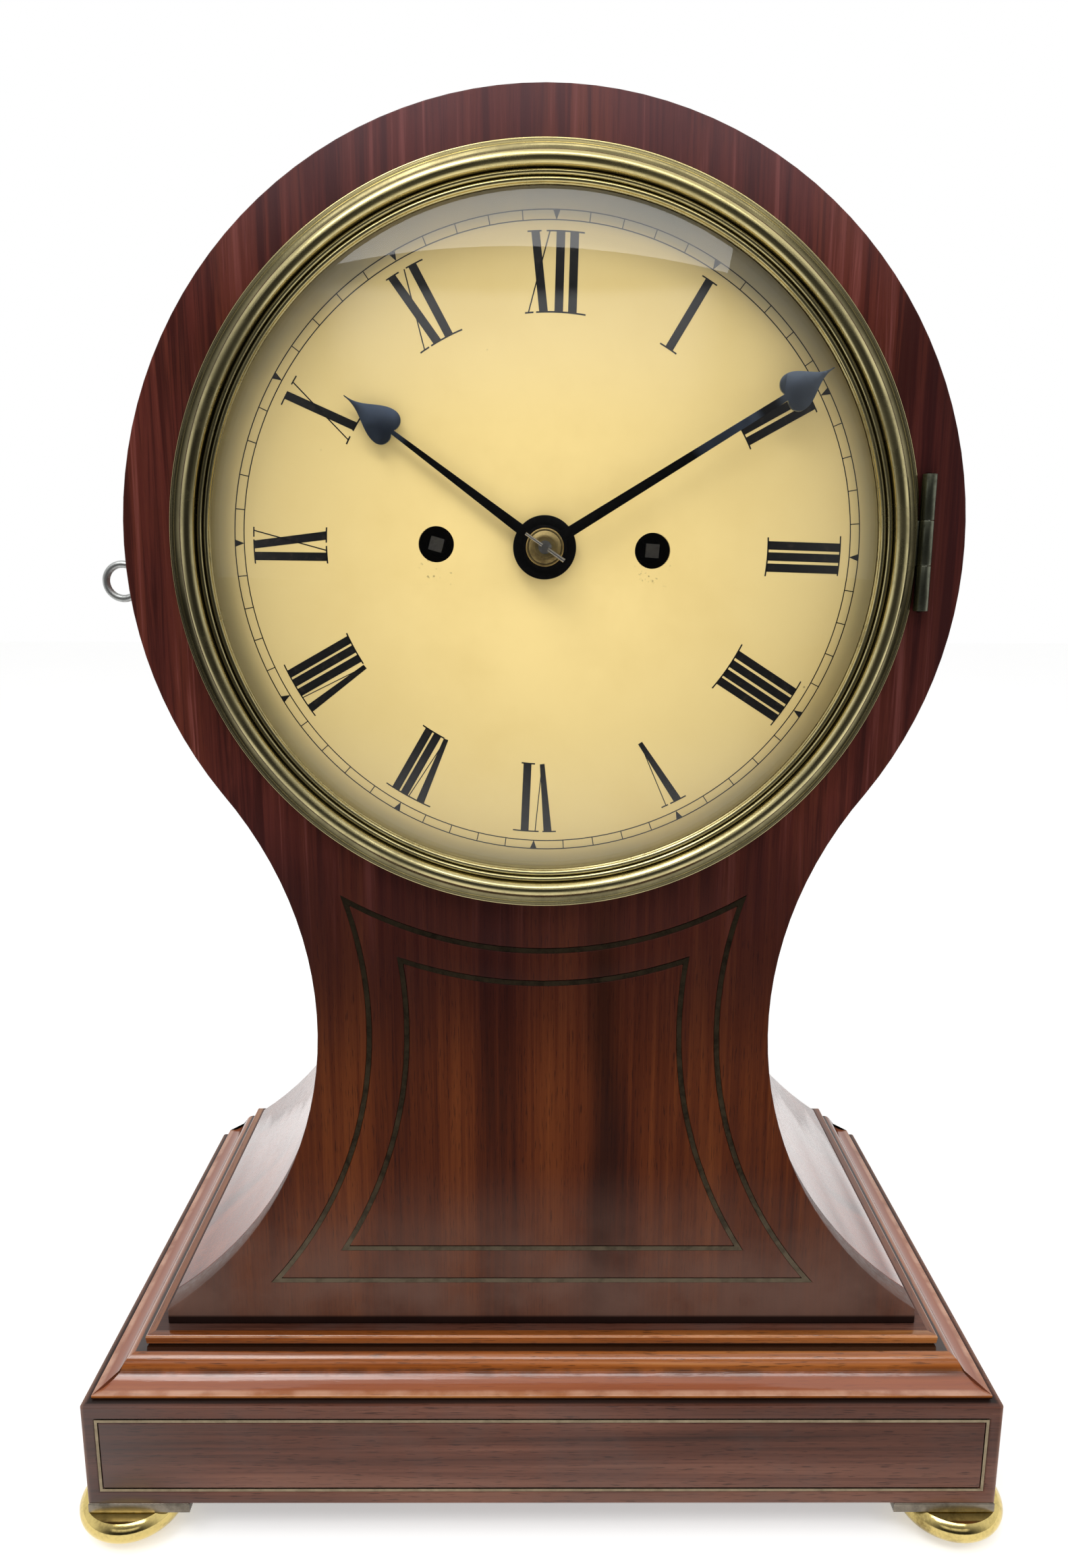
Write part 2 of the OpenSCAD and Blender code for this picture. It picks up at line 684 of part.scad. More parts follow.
// Spade hand drawn upwards: boss, tapered stem, and a heart-shaped head drawn out to a point
module spade(len, head_len, head_w, boss, stem, taper, hole) {
    lobe = head_w * 0.28;
    middle = len - head_len + lobe - 0.7;
    steps = 16;
    difference() {
        union() {
            circle(r = boss);
            polygon([[-stem, 0], [stem, 0], [stem * taper, middle], [-stem * taper, middle]]);
            for (side = [-1, 1]) translate([side * (head_w / 2 - lobe), middle]) circle(r = lobe);
            polygon(concat(
                [for (i = [0:steps]) [flank(i / steps) * head_w / 2, middle + (len - middle) * i / steps]],
                [for (i = [steps:-1:0]) [-flank(i / steps) * head_w / 2, middle + (len - middle)
                    * i / steps]]));
        }
        circle(r = hole);
    }
}

module hour_hand() color("midnightblue") in_movement() slab(hour_hand_y, hour_hand_y + hand_t)
    rotate(-hour_angle) spade(hour_len, 17.5, 11.2, 9.65, 1.75, 0.36, pipe_r + shaft_fit);

module minute_hand() color("midnightblue") in_movement() slab(minute_hand_y, minute_hand_y + hand_t)
    rotate(-minute_angle) spade(minute_len, 15.6, 11.6, 6.6, 1.65, 0.62, cannon_r + shaft_fit);

module hand_collet() color("darkkhaki") in_movement()
    turned(centre_at, concat([[centre_arbor_r + shaft_fit, collet_y], [5.7, collet_y], [5.7, collet_y - 0.8]],
        [for (i = [1:5]) [5.7 - 3 * i / 5, collet_y - 0.8 - (collet_h - 0.8) * sin(18 * i)]],
        [[centre_arbor_r + shaft_fit, collet_y - collet_h]]));

hand_pin_y = collet_y - collet_h - 0.7;

module hand_pin() color("gray") in_movement() translate([0, hand_pin_y, 0]) rotate([0, 33 + 90, 0])
    translate([0, 0, -7]) cylinder(r1 = 0.45, r2 = 0.65, h = 14);

// Wheels

// Points of a toothed outline: a root and a tip width, as shares of the pitch
function teeth(n, root_r, tip_r, root_w, tip_w, phase) = [for (i = [0:n - 1])
    for (k = [[root_r, -root_w / 2], [tip_r, -tip_w / 2], [tip_r, tip_w / 2], [root_r, root_w / 2]])
        polar(k[0], phase + 360 / n * (i + k[1]))];

function wheel_teeth(n, m, phase) = teeth(n, m * n / 2 - 1.25 * m, m * n / 2 + 0.85 * m, 0.52, 0.14, phase);
function pinion_teeth(n, m, phase) = teeth(n, m * n / 2 - 1.2 * m, m * n / 2 + 0.6 * m, 0.44, 0.14, phase);

// Wheel with four crossings, on its arbor at a place, between two depths
module wheel(at, n, m, layer, phase) {
    rim = m * n / 2 - 3.4 * m - 0.6;
    hub = max(3.4, rim * 0.26);
    translate([at[0], 0, at[1]]) slab(layer[0], layer[1]) {
        difference() {
            polygon(wheel_teeth(n, m, phase));
            circle(r = rim);
        }
        circle(r = hub);
        difference() {
            for (a = [0, 90]) rotate(a + 20) square([2 * rim + 0.4, rim * 0.16 + 0.6], center = true);
            circle(r = hub * 0.9);
        }
    }
}

module pinion(at, n, m, y0, y1, phase) translate([at[0], 0, at[1]]) slab(y0, y1)
    polygon(pinion_teeth(n, m, phase));

// Arbor between the plates, with a pivot in each
module arbor(at, r) {
    rod(at, inside + 0.3, back_inside - 0.3, r);
    rod(at, plate_front, back_face, pivot_r);
}

// Phase that sets a tooth of one, or a space of the other, on the line of centres
function tooth_phase(p, q) = bearing(p, q);
function space_phase(p, q, n) = bearing(q, p) + 180 / n;

arbor_list = [third_at, escape_at, pin_at, gathering_at, warning_at, fly_at, hammer_at];

module plate_shape() difference() {
    translate([-plate_half, -plate_down]) square([2 * plate_half, plate_up + plate_down]);
    for (at = arbor_list) translate(at) circle(r = pivot_r + shaft_fit);
    for (at = [going_at, strike_at]) translate(at) circle(r = fusee_arbor_r + shaft_fit);
    for (at = [going_barrel_at, strike_barrel_at]) translate(at) circle(r = fusee_arbor_r + shaft_fit);
    translate(centre_at) circle(r = centre_arbor_r + shaft_fit);
    for (at = pillar_at) translate(at) circle(r = pillar_r - 2 + shaft_fit);
}

module front_plate() color("goldenrod") in_movement() {
    slab(plate_front, inside) difference() {
        plate_shape();
        translate(anchor_at) circle(r = pivot_r + shaft_fit);
        for (at = dial_foot_at) translate(at) circle(r = dial_foot_r + shaft_fit);
    }
    rod(minute_at, hub_front + 0.8, plate_front + 0.1, stud_r);
}

module back_plate() color("goldenrod") in_movement() slab(back_inside, back_face) difference() {
    plate_shape();
    translate(anchor_at) circle(r = 6);
}

module plate_pillars() color("goldenrod") in_movement() difference() {
    for (at = pillar_at) {
        turned(at, [[0, inside], [pillar_r + 1.5, inside], [pillar_r + 1.5, inside + 4], [pillar_r - 1,
            inside + 7],
            [pillar_r, bell_y - 6], [pillar_r, bell_y + 6], [pillar_r - 1, back_inside - 7],
            [pillar_r + 1.5, back_inside - 4], [pillar_r + 1.5, back_inside], [0, back_inside]]);
        rod(at, plate_front - 3, back_face, pillar_r - 2);
    }
    for (at = bolt_at) rotate([0, -tilt, 0]) translate([turn_with_dial(at)[0], bell_y, -dial_h / 2])
        cylinder(r = seat_bolt_r + shaft_fit, h = dial_h / 2 + turn_with_dial(at)[1]);
}

// Springs, barrels and fusees

barrel_wall = 1.6;
barrel_ends = [fusee_layer[0] - 1.5, fusee_layer[1] + 1];

module barrel(at) in_movement() turned(at, [
    [fusee_arbor_r + shaft_fit, barrel_ends[0]], [barrel_r, barrel_ends[0]], [barrel_r, barrel_ends[1]],
    [fusee_arbor_r + shaft_fit, barrel_ends[1]], [fusee_arbor_r + shaft_fit, barrel_ends[1] - barrel_wall],
    [barrel_r - barrel_wall, barrel_ends[1] - barrel_wall], [barrel_r - barrel_wall, barrel_ends[0] +
        barrel_wall],
    [fusee_arbor_r + shaft_fit, barrel_ends[0] + barrel_wall]]);

module going_barrel() color("goldenrod") barrel(going_barrel_at);

module strike_barrel() color("goldenrod") barrel(strike_barrel_at);

module barrel_arbors() color("gray") in_movement() for (at = [going_barrel_at, strike_barrel_at]) {
    rod(at, plate_front - 6, back_face, fusee_arbor_r);
}

// Flat spiral from the arbor to the barrel wall
spring_turns = 6;
spring_steps = 24;
spring_strip = 0.7;
spring_gap = 0.6;
spring_count = spring_turns * spring_steps;
spring_inner = fusee_arbor_r + spring_gap;
spring_outer = barrel_r - barrel_wall - spring_strip - spring_gap;
function spring_point(i, out) =
    polar(spring_inner + (spring_outer - spring_inner) * i / spring_count + out, 360 * i / spring_steps);

module mainsprings() color("steelblue") in_movement() for (at = [going_barrel_at, strike_barrel_at])
    translate([at[0], 0, at[1]])
        slab(barrel_ends[0] + barrel_wall + spring_gap, barrel_ends[1] - barrel_wall - spring_gap)
            polygon(concat([for (i = [0:spring_count]) spring_point(i, 0)],
                [for (i = [spring_count:-1:0]) spring_point(i, spring_strip)]));

// Radius of the fusee along its length: t from 0 at the small end to 1 at the large end
function fusee_radius(t) = fusee_small + (fusee_big - fusee_small) * pow(t, 1.5);
fusee_span = fusee_layer[1] - fusee_layer[0];

module fusee(at, turn) in_movement() {
    turned(at, concat([[0, fusee_layer[0] - 1], [fusee_small - 2, fusee_layer[0] - 1]],
        [for (i = [0:8]) [fusee_radius(i / 8), fusee_layer[0] + fusee_span * i / 8]],
        [[fusee_big + 2, fusee_layer[1] + 0.2], [fusee_big + 2, fusee_layer[1] + 1.2], [0,
            fusee_layer[1] + 1.2]]));
    rod(at, plate_front - 6, back_face, fusee_arbor_r);
    translate([at[0], dial_y + 0.4, at[1]]) rotate([0, turn, 0]) translate([-winding_sq / 2, 0,
        -winding_sq / 2])
        cube([winding_sq, plate_front - 5 - dial_y, winding_sq]);
}

module going_fusee() color("goldenrod") fusee(going_at, 2);

module strike_fusee() color("goldenrod") fusee(strike_at, 14);

module great_wheel(at, mate, layer) in_movement() difference() {
    wheel(at, great_n, great_m, layer, tooth_phase(at, mate));
    rod(at, layer[0] - cut, layer[1] + cut, fusee_arbor_r + shaft_fit);
}

module going_great_wheel() color("goldenrod") great_wheel(going_at, centre_at, great_layer);

module strike_great_wheel() color("goldenrod") great_wheel(strike_at, pin_at, strike_layer);

// Gut line: turns on the barrel, a straight stretch, turns on the fusee
gut_turns = 4;
gut_steps = 16;
gut_pitch = 2.4;
gut_clear = 0.3;
gut_leave = fusee_layer[0] + fusee_span / 2;

function gut_path(from, to, hand) = let (
    d = norm(to - from),
    fusee_mid = fusee_radius(0.5) + gut_d / 2 + gut_clear,
    drum = barrel_r + gut_d / 2 + gut_clear,
    lean = asin((drum - fusee_mid) / d),
    start = bearing(from, to) - hand * (90 - lean),
    chord = 1 / cos(180 / gut_steps),
    count = gut_turns * gut_steps)
    concat(
        [for (i = [count:-1:0]) let (a = start - hand * 360 * i / gut_steps, p = from +
            polar(drum * chord, a))
            [p[0], gut_leave - gut_pitch * i / gut_steps, p[1]]],
        [for (i = [0:count]) let (
            a = start + hand * 360 * i / gut_steps,
            y = gut_leave + gut_pitch * i / gut_steps,
            r = fusee_radius((y + gut_d - fusee_layer[0]) / fusee_span) + gut_d / 2 + gut_clear,
            p = to + polar(r * chord, a))
            [p[0], y, p[1]]]);

// Tube of six sides swept along points
module tube(path, r) {
    sides = 6;
    n = len(path);
    function along(i) = let (v = path[min(i + 1, n - 1)] - path[max(i - 1, 0)]) v / norm(v);
    function across(i) = let (v = cross(along(i), [0, 1, 0])) v / norm(v);
    points = [for (i = [0:n - 1]) let (u = across(i), w = cross(along(i), u))
        for (k = [0:sides - 1]) path[i] + r * (u * cos(360 * k / sides) + w * sin(360 * k / sides))];
    walls = [for (i = [0:n - 2]) for (k = [0:sides - 1]) let (j = (k + 1) % sides)
        each [[i * sides + k, i * sides + j, (i + 1) * sides + k],
            [i * sides + j, (i + 1) * sides + j, (i + 1) * sides + k]]];
    first = [for (k = [1:sides - 2]) [0, k + 1, k]];
    base = (n - 1) * sides;
    last = [for (k = [1:sides - 2]) [base, base + k, base + k + 1]];
    polyhedron(points, concat(walls, first, last));
}

module gut_lines() color("tan") in_movement() {
    tube(gut_path(going_barrel_at, going_at, 1), gut_d / 2);
    tube(gut_path(strike_barrel_at, strike_at, -1), gut_d / 2);
}

// Going train

centre_tip = hand_pin_y - 1.6;

module centre_wheel() color("goldenrod") in_movement() difference() {
    union() {
        wheel(centre_at, centre_n, centre_m, centre_layer, tooth_phase(centre_at, third_at));
        pinion(centre_at, centre_pinion_n, great_m, great_layer[0] - 0.4, great_layer[1] + 0.3,
            space_phase(going_at, centre_at, centre_pinion_n));
        rod(centre_at, centre_tip, collet_y, 1.05);
        rod(centre_at, collet_y - collet_h + 0.5, great_layer[0] - 1, centre_arbor_r);
        rod(centre_at, great_layer[0] - 2, back_inside - 0.3, arbor_r);
        rod(centre_at, back_inside - cut, back_face, centre_arbor_r);
    }
    translate([0, hand_pin_y, 0]) rotate([0, 33, 0]) translate([-5, 0, 0]) rotate([0, 90, 0])
        cylinder(r = 0.7, h = 10);
}

module third_wheel() color("goldenrod") in_movement() {
    wheel(third_at, third_n, third_m, third_layer, tooth_phase(third_at, escape_at));
    pinion(third_at, third_pinion_n, centre_m, centre_layer[0] - 0.8, centre_layer[1] + 0.8,
        space_phase(centre_at, third_at, third_pinion_n));
    rod(third_at, centre_layer[1], back_inside - 0.3, 1.1);
    rod(third_at, plate_front, back_face, pivot_r);
}

// Escapement: the anchor spans seven and a half teeth, and a tooth follows each pallet face at 45 degrees
escape_lift = 0.5;
escape_clear = 0.3;
tooth_tip = 0.25;
tooth_undercut = 0.4;
tooth_root = 2.1;
escape_pitch = 360 / escape_n;
entry_turn = 45;
tooth_turn = (escape_lift + escape_clear) / escape_r * 180 / PI;

// A saw tooth by its leading tip corner, turned clockwise from the top by a
function clockwise(r, a) = [r * sin(a), r * cos(a)];
function tip_angle(len) = len / escape_r * 180 / PI;

module escape_wheel() color("goldenrod") in_movement() {
    lead = -entry_turn - tooth_turn;
    root_r = escape_r - 3;
    saw = [for (i = [0:escape_n - 1]) let (a = lead - escape_pitch * i)
        each [clockwise(root_r, a - tip_angle(tooth_undercut)), clockwise(escape_r, a),
            clockwise(escape_r, a - tip_angle(tooth_tip)), clockwise(root_r, a - tip_angle(tooth_root))]];
    translate([escape_at[0], 0, escape_at[1]]) slab(escape_layer[0], escape_layer[1]) {
        difference() {
            polygon(saw);
            circle(r = escape_r - 5.2);
        }
        circle(r = 3.4);
        difference() {
            for (a = [0, 90]) rotate(a) square([2 * escape_r - 10, 2.2], center = true);
            circle(r = 3);
        }
    }
    pinion(escape_at, escape_pinion_n, third_m, third_layer[0] - 0.8, third_layer[1] + 0.8,
        space_phase(third_at, escape_at, escape_pinion_n));
    rod(escape_at, inside + 0.3, third_layer[0] - 0.5, 1.2);
    rod(escape_at, plate_front, back_face, pivot_r);
}

// Pallet nose in the wheel's own directions: along the rim, and out from it
module pallet(turn) translate(escape_at) rotate(-turn) translate([0, escape_r]) children();

module anchor_shape() {
    nose = [[0, -escape_lift], [0.25, -escape_lift], [0.25, 4.6], [-4.2, 4.6], [-4.2, 3.7]];
    difference() {
        union() {
            pallet(-entry_turn) polygon(nose);
            pallet(entry_turn) polygon(nose);
            difference() {
                translate(anchor_at) circle(r = escape_r + 3.2);
                translate(anchor_at) circle(r = escape_r - 1.6);
                translate(escape_at) circle(r = escape_r + 3.4);
                translate([-2 * escape_r, anchor_at[1] - 6]) square([4 * escape_r, 4 * escape_r]);
            }
            for (side = [-1, 1]) polygon([anchor_at + [side * 2, 5], anchor_at + [-side * 2, -4],
                anchor_at + [side * (escape_r - 1), -9.6], anchor_at + [side * (escape_r + 1.8), -6.2]]);
            translate(anchor_at) circle(r = 5);
        }
    }
}

crutch_len = 48;
crutch_y = [back_face + 2, back_face + 3.6];
pendulum_at = turn_with_dial(anchor_at);
pendulum_rod_r = 1.6;
cock_y = [back_face + 6, back_face + 9];

module anchor() color("gray") {
    in_movement() {
        slab(escape_layer[0] - 0.2, escape_layer[1] + 0.2) anchor_shape();
        rod(anchor_at, inside + 0.3, crutch_y[1], arbor_r);
        rod(anchor_at, plate_front, cock_y[1] - 1, pivot_r);
    }
    in_dial() translate([pendulum_at[0], 0, pendulum_at[1]]) {
        slab(crutch_y[0], crutch_y[1]) {
            circle(r = 4);
            translate([-1.5, -crutch_len]) square([3, crutch_len]);
        }
        fork = pendulum_rod_r + 0.25;
        for (side = [-1, 1]) translate([side > 0 ? fork : -fork - 1.6, crutch_y[0], -crutch_len - 4])
            cube([1.6, rod_y + 3 - crutch_y[0], 4.5]);
        translate([-fork - 1.6, crutch_y[0], -crutch_len - 4]) cube([2 * fork + 3.2, 1.6, 4.5]);
    }
}

spring_t = 0.3;
spring_rise = 6;
slot = spring_t + 2 * (spring_rise * sin(swing) + 0.3);
cock_half = 22;
cock_h = 12;

module back_cock() color("goldenrod") in_dial() translate([pendulum_at[0], 0, pendulum_at[1]]) {
    difference() {
        union() {
            translate([-cock_half, cock_y[0], -cock_h / 2]) cube([2 * cock_half, cock_y[1] - cock_y[0],
                cock_h]);
            for (side = [-1, 1]) translate([side > 0 ? cock_half - 7 : -cock_half, back_face, -cock_h / 2])
                cube([7, cock_y[1] - back_face, cock_h]);
            translate([-5, cock_y[0], 1.5]) cube([10, rod_y + 4 - cock_y[0], 6.5]);
        }
        rod([0, 0], back_face, cock_y[1] - 0.5, pivot_r + shaft_fit);
        translate([-slot / 2, rod_y - 4.5, 0]) cube([slot, 9.5, spring_rise + 0.6]);
    }
}

bob_z = -pendulum_len;
bob_t = 12;
nut_h = 4;
lens_r = (bob_d * bob_d / 4 + bob_t * bob_t / 4) / bob_t;

// Suspension spring, top block and rod; the spring bends at the height of the anchor's arbor
module pendulum_rod() color("gray") in_dial() translate([pendulum_at[0], rod_y, pendulum_at[1]]) {
    translate([-spring_t / 2, -3, -10]) cube([spring_t, 6, 10 + spring_rise]);
    translate([-2.2, -3.5, -16]) cube([4.4, 7, 7]);
    translate([0, 0, bob_z - bob_d / 2 - 14]) cylinder(r = pendulum_rod_r, h = -bob_z + bob_d / 2 + 14 - 15);
}

module pendulum_bob() color("goldenrod") in_dial() translate([pendulum_at[0], rod_y, pendulum_at[1] + bob_z])
    difference() {
        intersection_for(side = [-1, 1]) translate([0, side * (lens_r - bob_t / 2), 0])
            sphere(r = lens_r, $fn = 240);
        translate([0, 0, -bob_d]) cylinder(r = pendulum_rod_r + shaft_fit, h = 2 * bob_d);
    }

module rating_nut() color("goldenrod") in_dial()
    translate([pendulum_at[0], rod_y, pendulum_at[1] + bob_z - bob_d / 2 - nut_h - 0.1]) difference() {
        cylinder(r = 5.5, h = nut_h, $fn = 48);
        translate([0, 0, -cut]) cylinder(r = pendulum_rod_r + shaft_fit, h = nut_h + 2 * cut);
    }

// Strike train

pin_circle = 15.1;
strike_pins = 8;

module pin_wheel() color("goldenrod") in_movement() {
    wheel(pin_at, pin_n, pin_m, pin_layer, tooth_phase(pin_at, gathering_at));
    pinion(pin_at, pin_pinion_n, great_m, strike_layer[0] - 0.5, strike_layer[1] + 0.3,
        space_phase(strike_at, pin_at, pin_pinion_n));
    for (i = [0:strike_pins - 1]) rod(pin_at + polar(pin_circle, bearing(pin_at, hammer_at) + 22.5 + 45 * i),
        pin_layer[0] - 3.2, pin_layer[0] + 0.5, 0.8);
    arbor(pin_at, 1.3);
}

module gathering_wheel() color("goldenrod") in_movement() {
    wheel(gathering_at, gathering_n, gathering_m, gathering_layer, tooth_phase(gathering_at, warning_at));
    pinion(gathering_at, gathering_pinion_n, pin_m, pin_layer[0] - 0.8, pin_layer[1] + 0.8,
        space_phase(pin_at, gathering_at, gathering_pinion_n));
    rod(gathering_at, inside + 0.3, pin_layer[0], 1.2);
    rod(gathering_at, plate_front, back_face, pivot_r);
}

module warning_wheel() color("goldenrod") in_movement() {
    wheel(warning_at, warning_n, warning_m, warning_layer, tooth_phase(warning_at, fly_at));
    pinion(warning_at, warning_pinion_n, gathering_m, gathering_layer[0] - 0.8, gathering_layer[1] + 0.8,
        space_phase(gathering_at, warning_at, warning_pinion_n));
    rod(warning_at, inside + 0.3, gathering_layer[0], 1.1);
    rod(warning_at, plate_front, back_face, pivot_r);
}

fly_half = 9.5;
fly_t = 0.8;

module fly() color("gray") in_movement() {
    pinion(fly_at, fly_pinion_n, warning_m, warning_layer[0] - 0.8, warning_layer[1] + 0.8,
        space_phase(warning_at, fly_at, fly_pinion_n));
    rod(fly_at, plate_front, back_face, pivot_r);
    rod(fly_at, fly_layer[0] - 1, fly_layer[1] + 1, 1.6);
    translate([fly_at[0] - fly_half, fly_layer[0], fly_at[1] - fly_t / 2])
        cube([2 * fly_half, fly_layer[1] - fly_layer[0], fly_t]);
}

// Hammer, tail on the pin wheel and head beside the bell
hammer_gap = 1;
head_r = 5;

bell_z = plate_up + 6;
head_at = [-bell_d / 2 - hammer_gap - head_r, bell_z + 4];

module hammer() color("gray") in_movement() {
    lean = bearing(hammer_at, head_at);
    reach = norm(head_at - hammer_at);
    arbor(hammer_at, arbor_r);
    translate([hammer_at[0], 0, hammer_at[1]]) {
        slab(bell_y - 1.25, bell_y + 1.25) {
            circle(r = 4);
            rotate(lean) translate([0, -1.25]) square([reach, 2.5]);
        }
        slab(pin_layer[0] - 2.8, pin_layer[0] - 0.8) {
            circle(r = 3.4);
            rotate(bearing(hammer_at, pin_at)) translate([0, -1]) square([norm(pin_at - hammer_at)
                - pin_circle + 1, 2]);
        }
    }
    translate([head_at[0], bell_y, head_at[1]]) sphere(r = head_r, $fn = 48);
}

bell_room = 7;
bell_h = case_r - side_t - bell_z - bell_room;
bell_wall = 2.2;

// Bell, mouth down, standing on its post
module bell() color("darkkhaki") in_movement() translate([0, bell_y, bell_z]) rotate_extrude() polygon(concat(
    [[bell_post_r + shaft_fit, bell_h]],
    [for (i = [1:10]) let (t = i / 10) [bell_post_r + (bell_d / 2 - bell_post_r) * pow(sin(90 * t), 0.7),
        bell_h * (1 - pow(t, 2.4))]],
    [for (i = [10:-1:1]) let (t = i / 10)
        [bell_post_r + (bell_d / 2 - bell_post_r) * pow(sin(90 * t), 0.7) - bell_wall * (t > 0.15 ? 1 : 0),
        max(bell_h * (1 - pow(t, 2.4)) - bell_wall, 0)]],
    [[bell_post_r + shaft_fit, bell_h - bell_wall]]));

// Foot on the back plate, arm over its edge and post up into the bell
module bell_stand() color("goldenrod") in_movement() {
    arm_z = plate_up + 1;
    slab(back_face, back_face + 2) translate([-6, plate_up - 5]) square([12, 7]);
    translate([-4, bell_y - 4, arm_z]) cube([8, back_face + 2 - bell_y + 4, 2.4]);
    translate([0, bell_y, arm_z]) cylinder(r = bell_post_r, h = bell_z + bell_h + 3 - arm_z);
    translate([0, bell_y, arm_z]) cylinder(r = 4, h = bell_z + bell_h - bell_wall - 0.05 - arm_z);
}

// Motion work

module cannon_wheel() color("goldenrod") in_movement() difference() {
    union() {
        wheel(centre_at, cannon_n, cannon_m, motion_layer, tooth_phase(centre_at, minute_at));
        rod(centre_at, motion_layer[0], motion_layer[1], 5);
        rod(centre_at, minute_hand_y, motion_layer[1], cannon_r);
    }
    rod(centre_at, minute_hand_y - cut, motion_layer[1] + cut, centre_arbor_r + shaft_fit);
}

// Minute wheel on its stud, with the pinion that drives the hour wheel
stud_r = 1.2;
hub_front = motion_layer[0] - 1.5;

module minute_wheel() color("goldenrod") in_movement() difference() {
    union() {
        wheel(minute_at, cannon_n, cannon_m, motion_layer, space_phase(centre_at, minute_at, cannon_n));
        rod(minute_at, hub_front, motion_layer[1], 3);
        pinion(minute_at, hour_pinion_n, hour_m, hour_layer[0] - 0.4, hub_front + 0.2,
            space_phase(centre_at, minute_at, hour_pinion_n));
    }
    rod(minute_at, hub_front + 0.6, motion_layer[1] + cut, stud_r + shaft_fit);
}

// Hour wheel, its pipe through the dial and its stepped snail
snail_small = 6.5;
snail_step = 0.6;

module hour_wheel() color("goldenrod") in_movement() difference() {
    union() {
        wheel(centre_at, hour_n, hour_m, hour_layer, tooth_phase(centre_at, minute_at));
        slab(hour_layer[0] - 1.6, hour_layer[0] + 0.1) polygon([for (i = [0:11]) for (k = [0:3])
            polar(snail_small + snail_step * i, 30 * i + 10 * k)]);
        rod(centre_at, hour_hand_y, hour_layer[1] + 1, pipe_r);
    }
    rod(centre_at, hour_hand_y - cut, hour_layer[1] + 2, cannon_r + shaft_fit);
}

base_block();
base_top();
cyma_moulding();
step_moulding();
feet();
case_front();
case_sides();
back_frame();
back_door();
door_hinge_leaves();
door_hinge_straps();
door_hinge_pins();
door_lock();
door_bolt();
brass_stringing();
seat_board();
seat_rails();
seat_bolts();
bezel();
bezel_glass();
hinge_case_leaf();
hinge_bezel_leaf();
hinge_pin();
catch_bolt();
bolt_guide();
dial();
minute_hand();
hour_hand();
hand_collet();
hand_pin();
front_plate();
back_plate();
plate_pillars();
barrel_arbors();
mainsprings();
going_barrel();
strike_barrel();
going_fusee();
strike_fusee();
going_great_wheel();
strike_great_wheel();
gut_lines();
centre_wheel();
third_wheel();
escape_wheel();
anchor();
back_cock();
pendulum_rod();
pendulum_bob();
rating_nut();
pin_wheel();
gathering_wheel();
warning_wheel();
fly();
hammer();
bell();
bell_stand();
cannon_wheel();
minute_wheel();
hour_wheel();
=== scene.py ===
"""Balloon clock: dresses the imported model, adds the turned and moulded pieces, and lights it."""

import math

import bmesh
import bpy
import numpy as np
from mathutils import Matrix


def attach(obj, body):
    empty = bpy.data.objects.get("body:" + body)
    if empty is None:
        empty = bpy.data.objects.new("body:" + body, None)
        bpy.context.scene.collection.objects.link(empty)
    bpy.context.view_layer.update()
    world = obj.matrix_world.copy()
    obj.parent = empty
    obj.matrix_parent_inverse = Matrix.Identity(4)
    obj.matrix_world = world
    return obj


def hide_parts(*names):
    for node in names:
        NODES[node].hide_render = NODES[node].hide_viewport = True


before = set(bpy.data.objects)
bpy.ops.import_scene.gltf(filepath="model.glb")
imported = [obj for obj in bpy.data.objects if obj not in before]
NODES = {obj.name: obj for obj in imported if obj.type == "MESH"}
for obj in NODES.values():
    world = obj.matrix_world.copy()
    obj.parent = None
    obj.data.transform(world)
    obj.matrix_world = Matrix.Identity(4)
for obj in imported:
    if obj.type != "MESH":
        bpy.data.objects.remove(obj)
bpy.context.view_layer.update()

# Sizes in millimetres, as the part's source has them
BLOCK_TOP = 54.3
BASE_D = 179.0
CASE_INSET = 23.3
CASE_Z = 68.0
CASE_R = 128.0
WAIST_IN, WAIST_R, WAIST_H = 52.9, 128.5, 112.0
HOLLOW_R = 128.52
FOOT_EDGE = 5.5
DIAL_Z = CASE_Z + WAIST_H + math.sqrt(2 * WAIST_IN * (WAIST_R + CASE_R) - WAIST_IN ** 2)
FOOT_HALF = CASE_R - WAIST_IN + WAIST_R - math.sqrt(HOLLOW_R ** 2 - (WAIST_H - FOOT_EDGE) ** 2)
BASE_W = 2 * (FOOT_HALF + CASE_INSET)
FRONT_Y = -66.2
DIAL_Y = -59.2
BEZEL_R = 113.5
SIGHT_R = 100.0
BOLT_Y = -40.2
BOLT_Z = DIAL_Z - 11
HINGE = (114.9, -68.6)
WINDING_X = 33.5
MM = 0.001

WHITE = (1, 1, 1, 1)


def tone(red, green, blue):
    """Display colour, 0 to 255, as the linear colour a shader takes: each share raised to about 2.4."""
    share = np.array([red, green, blue]) / 255.0
    linear = np.where(share <= 0.04045, share / 12.92, ((share + 0.055) / 1.055) ** 2.4)
    return (float(linear[0]), float(linear[1]), float(linear[2]), 1.0)


# Meshes from arrays


def grid_faces(rows, cols, wrap_rows, wrap_cols):
    """Faces of a grid of points numbered row by row: each joins a point, the next in its row and the two in the
    next row."""
    i = np.arange(rows if wrap_rows else rows - 1)[:, None]
    j = np.arange(cols if wrap_cols else cols - 1)[None, :]
    down = (i + 1) % rows
    right = (j + 1) % cols
    corners = [i * cols + j, i * cols + right, down * cols + right, down * cols + j]
    return np.stack(corners, -1).reshape(-1, 4)


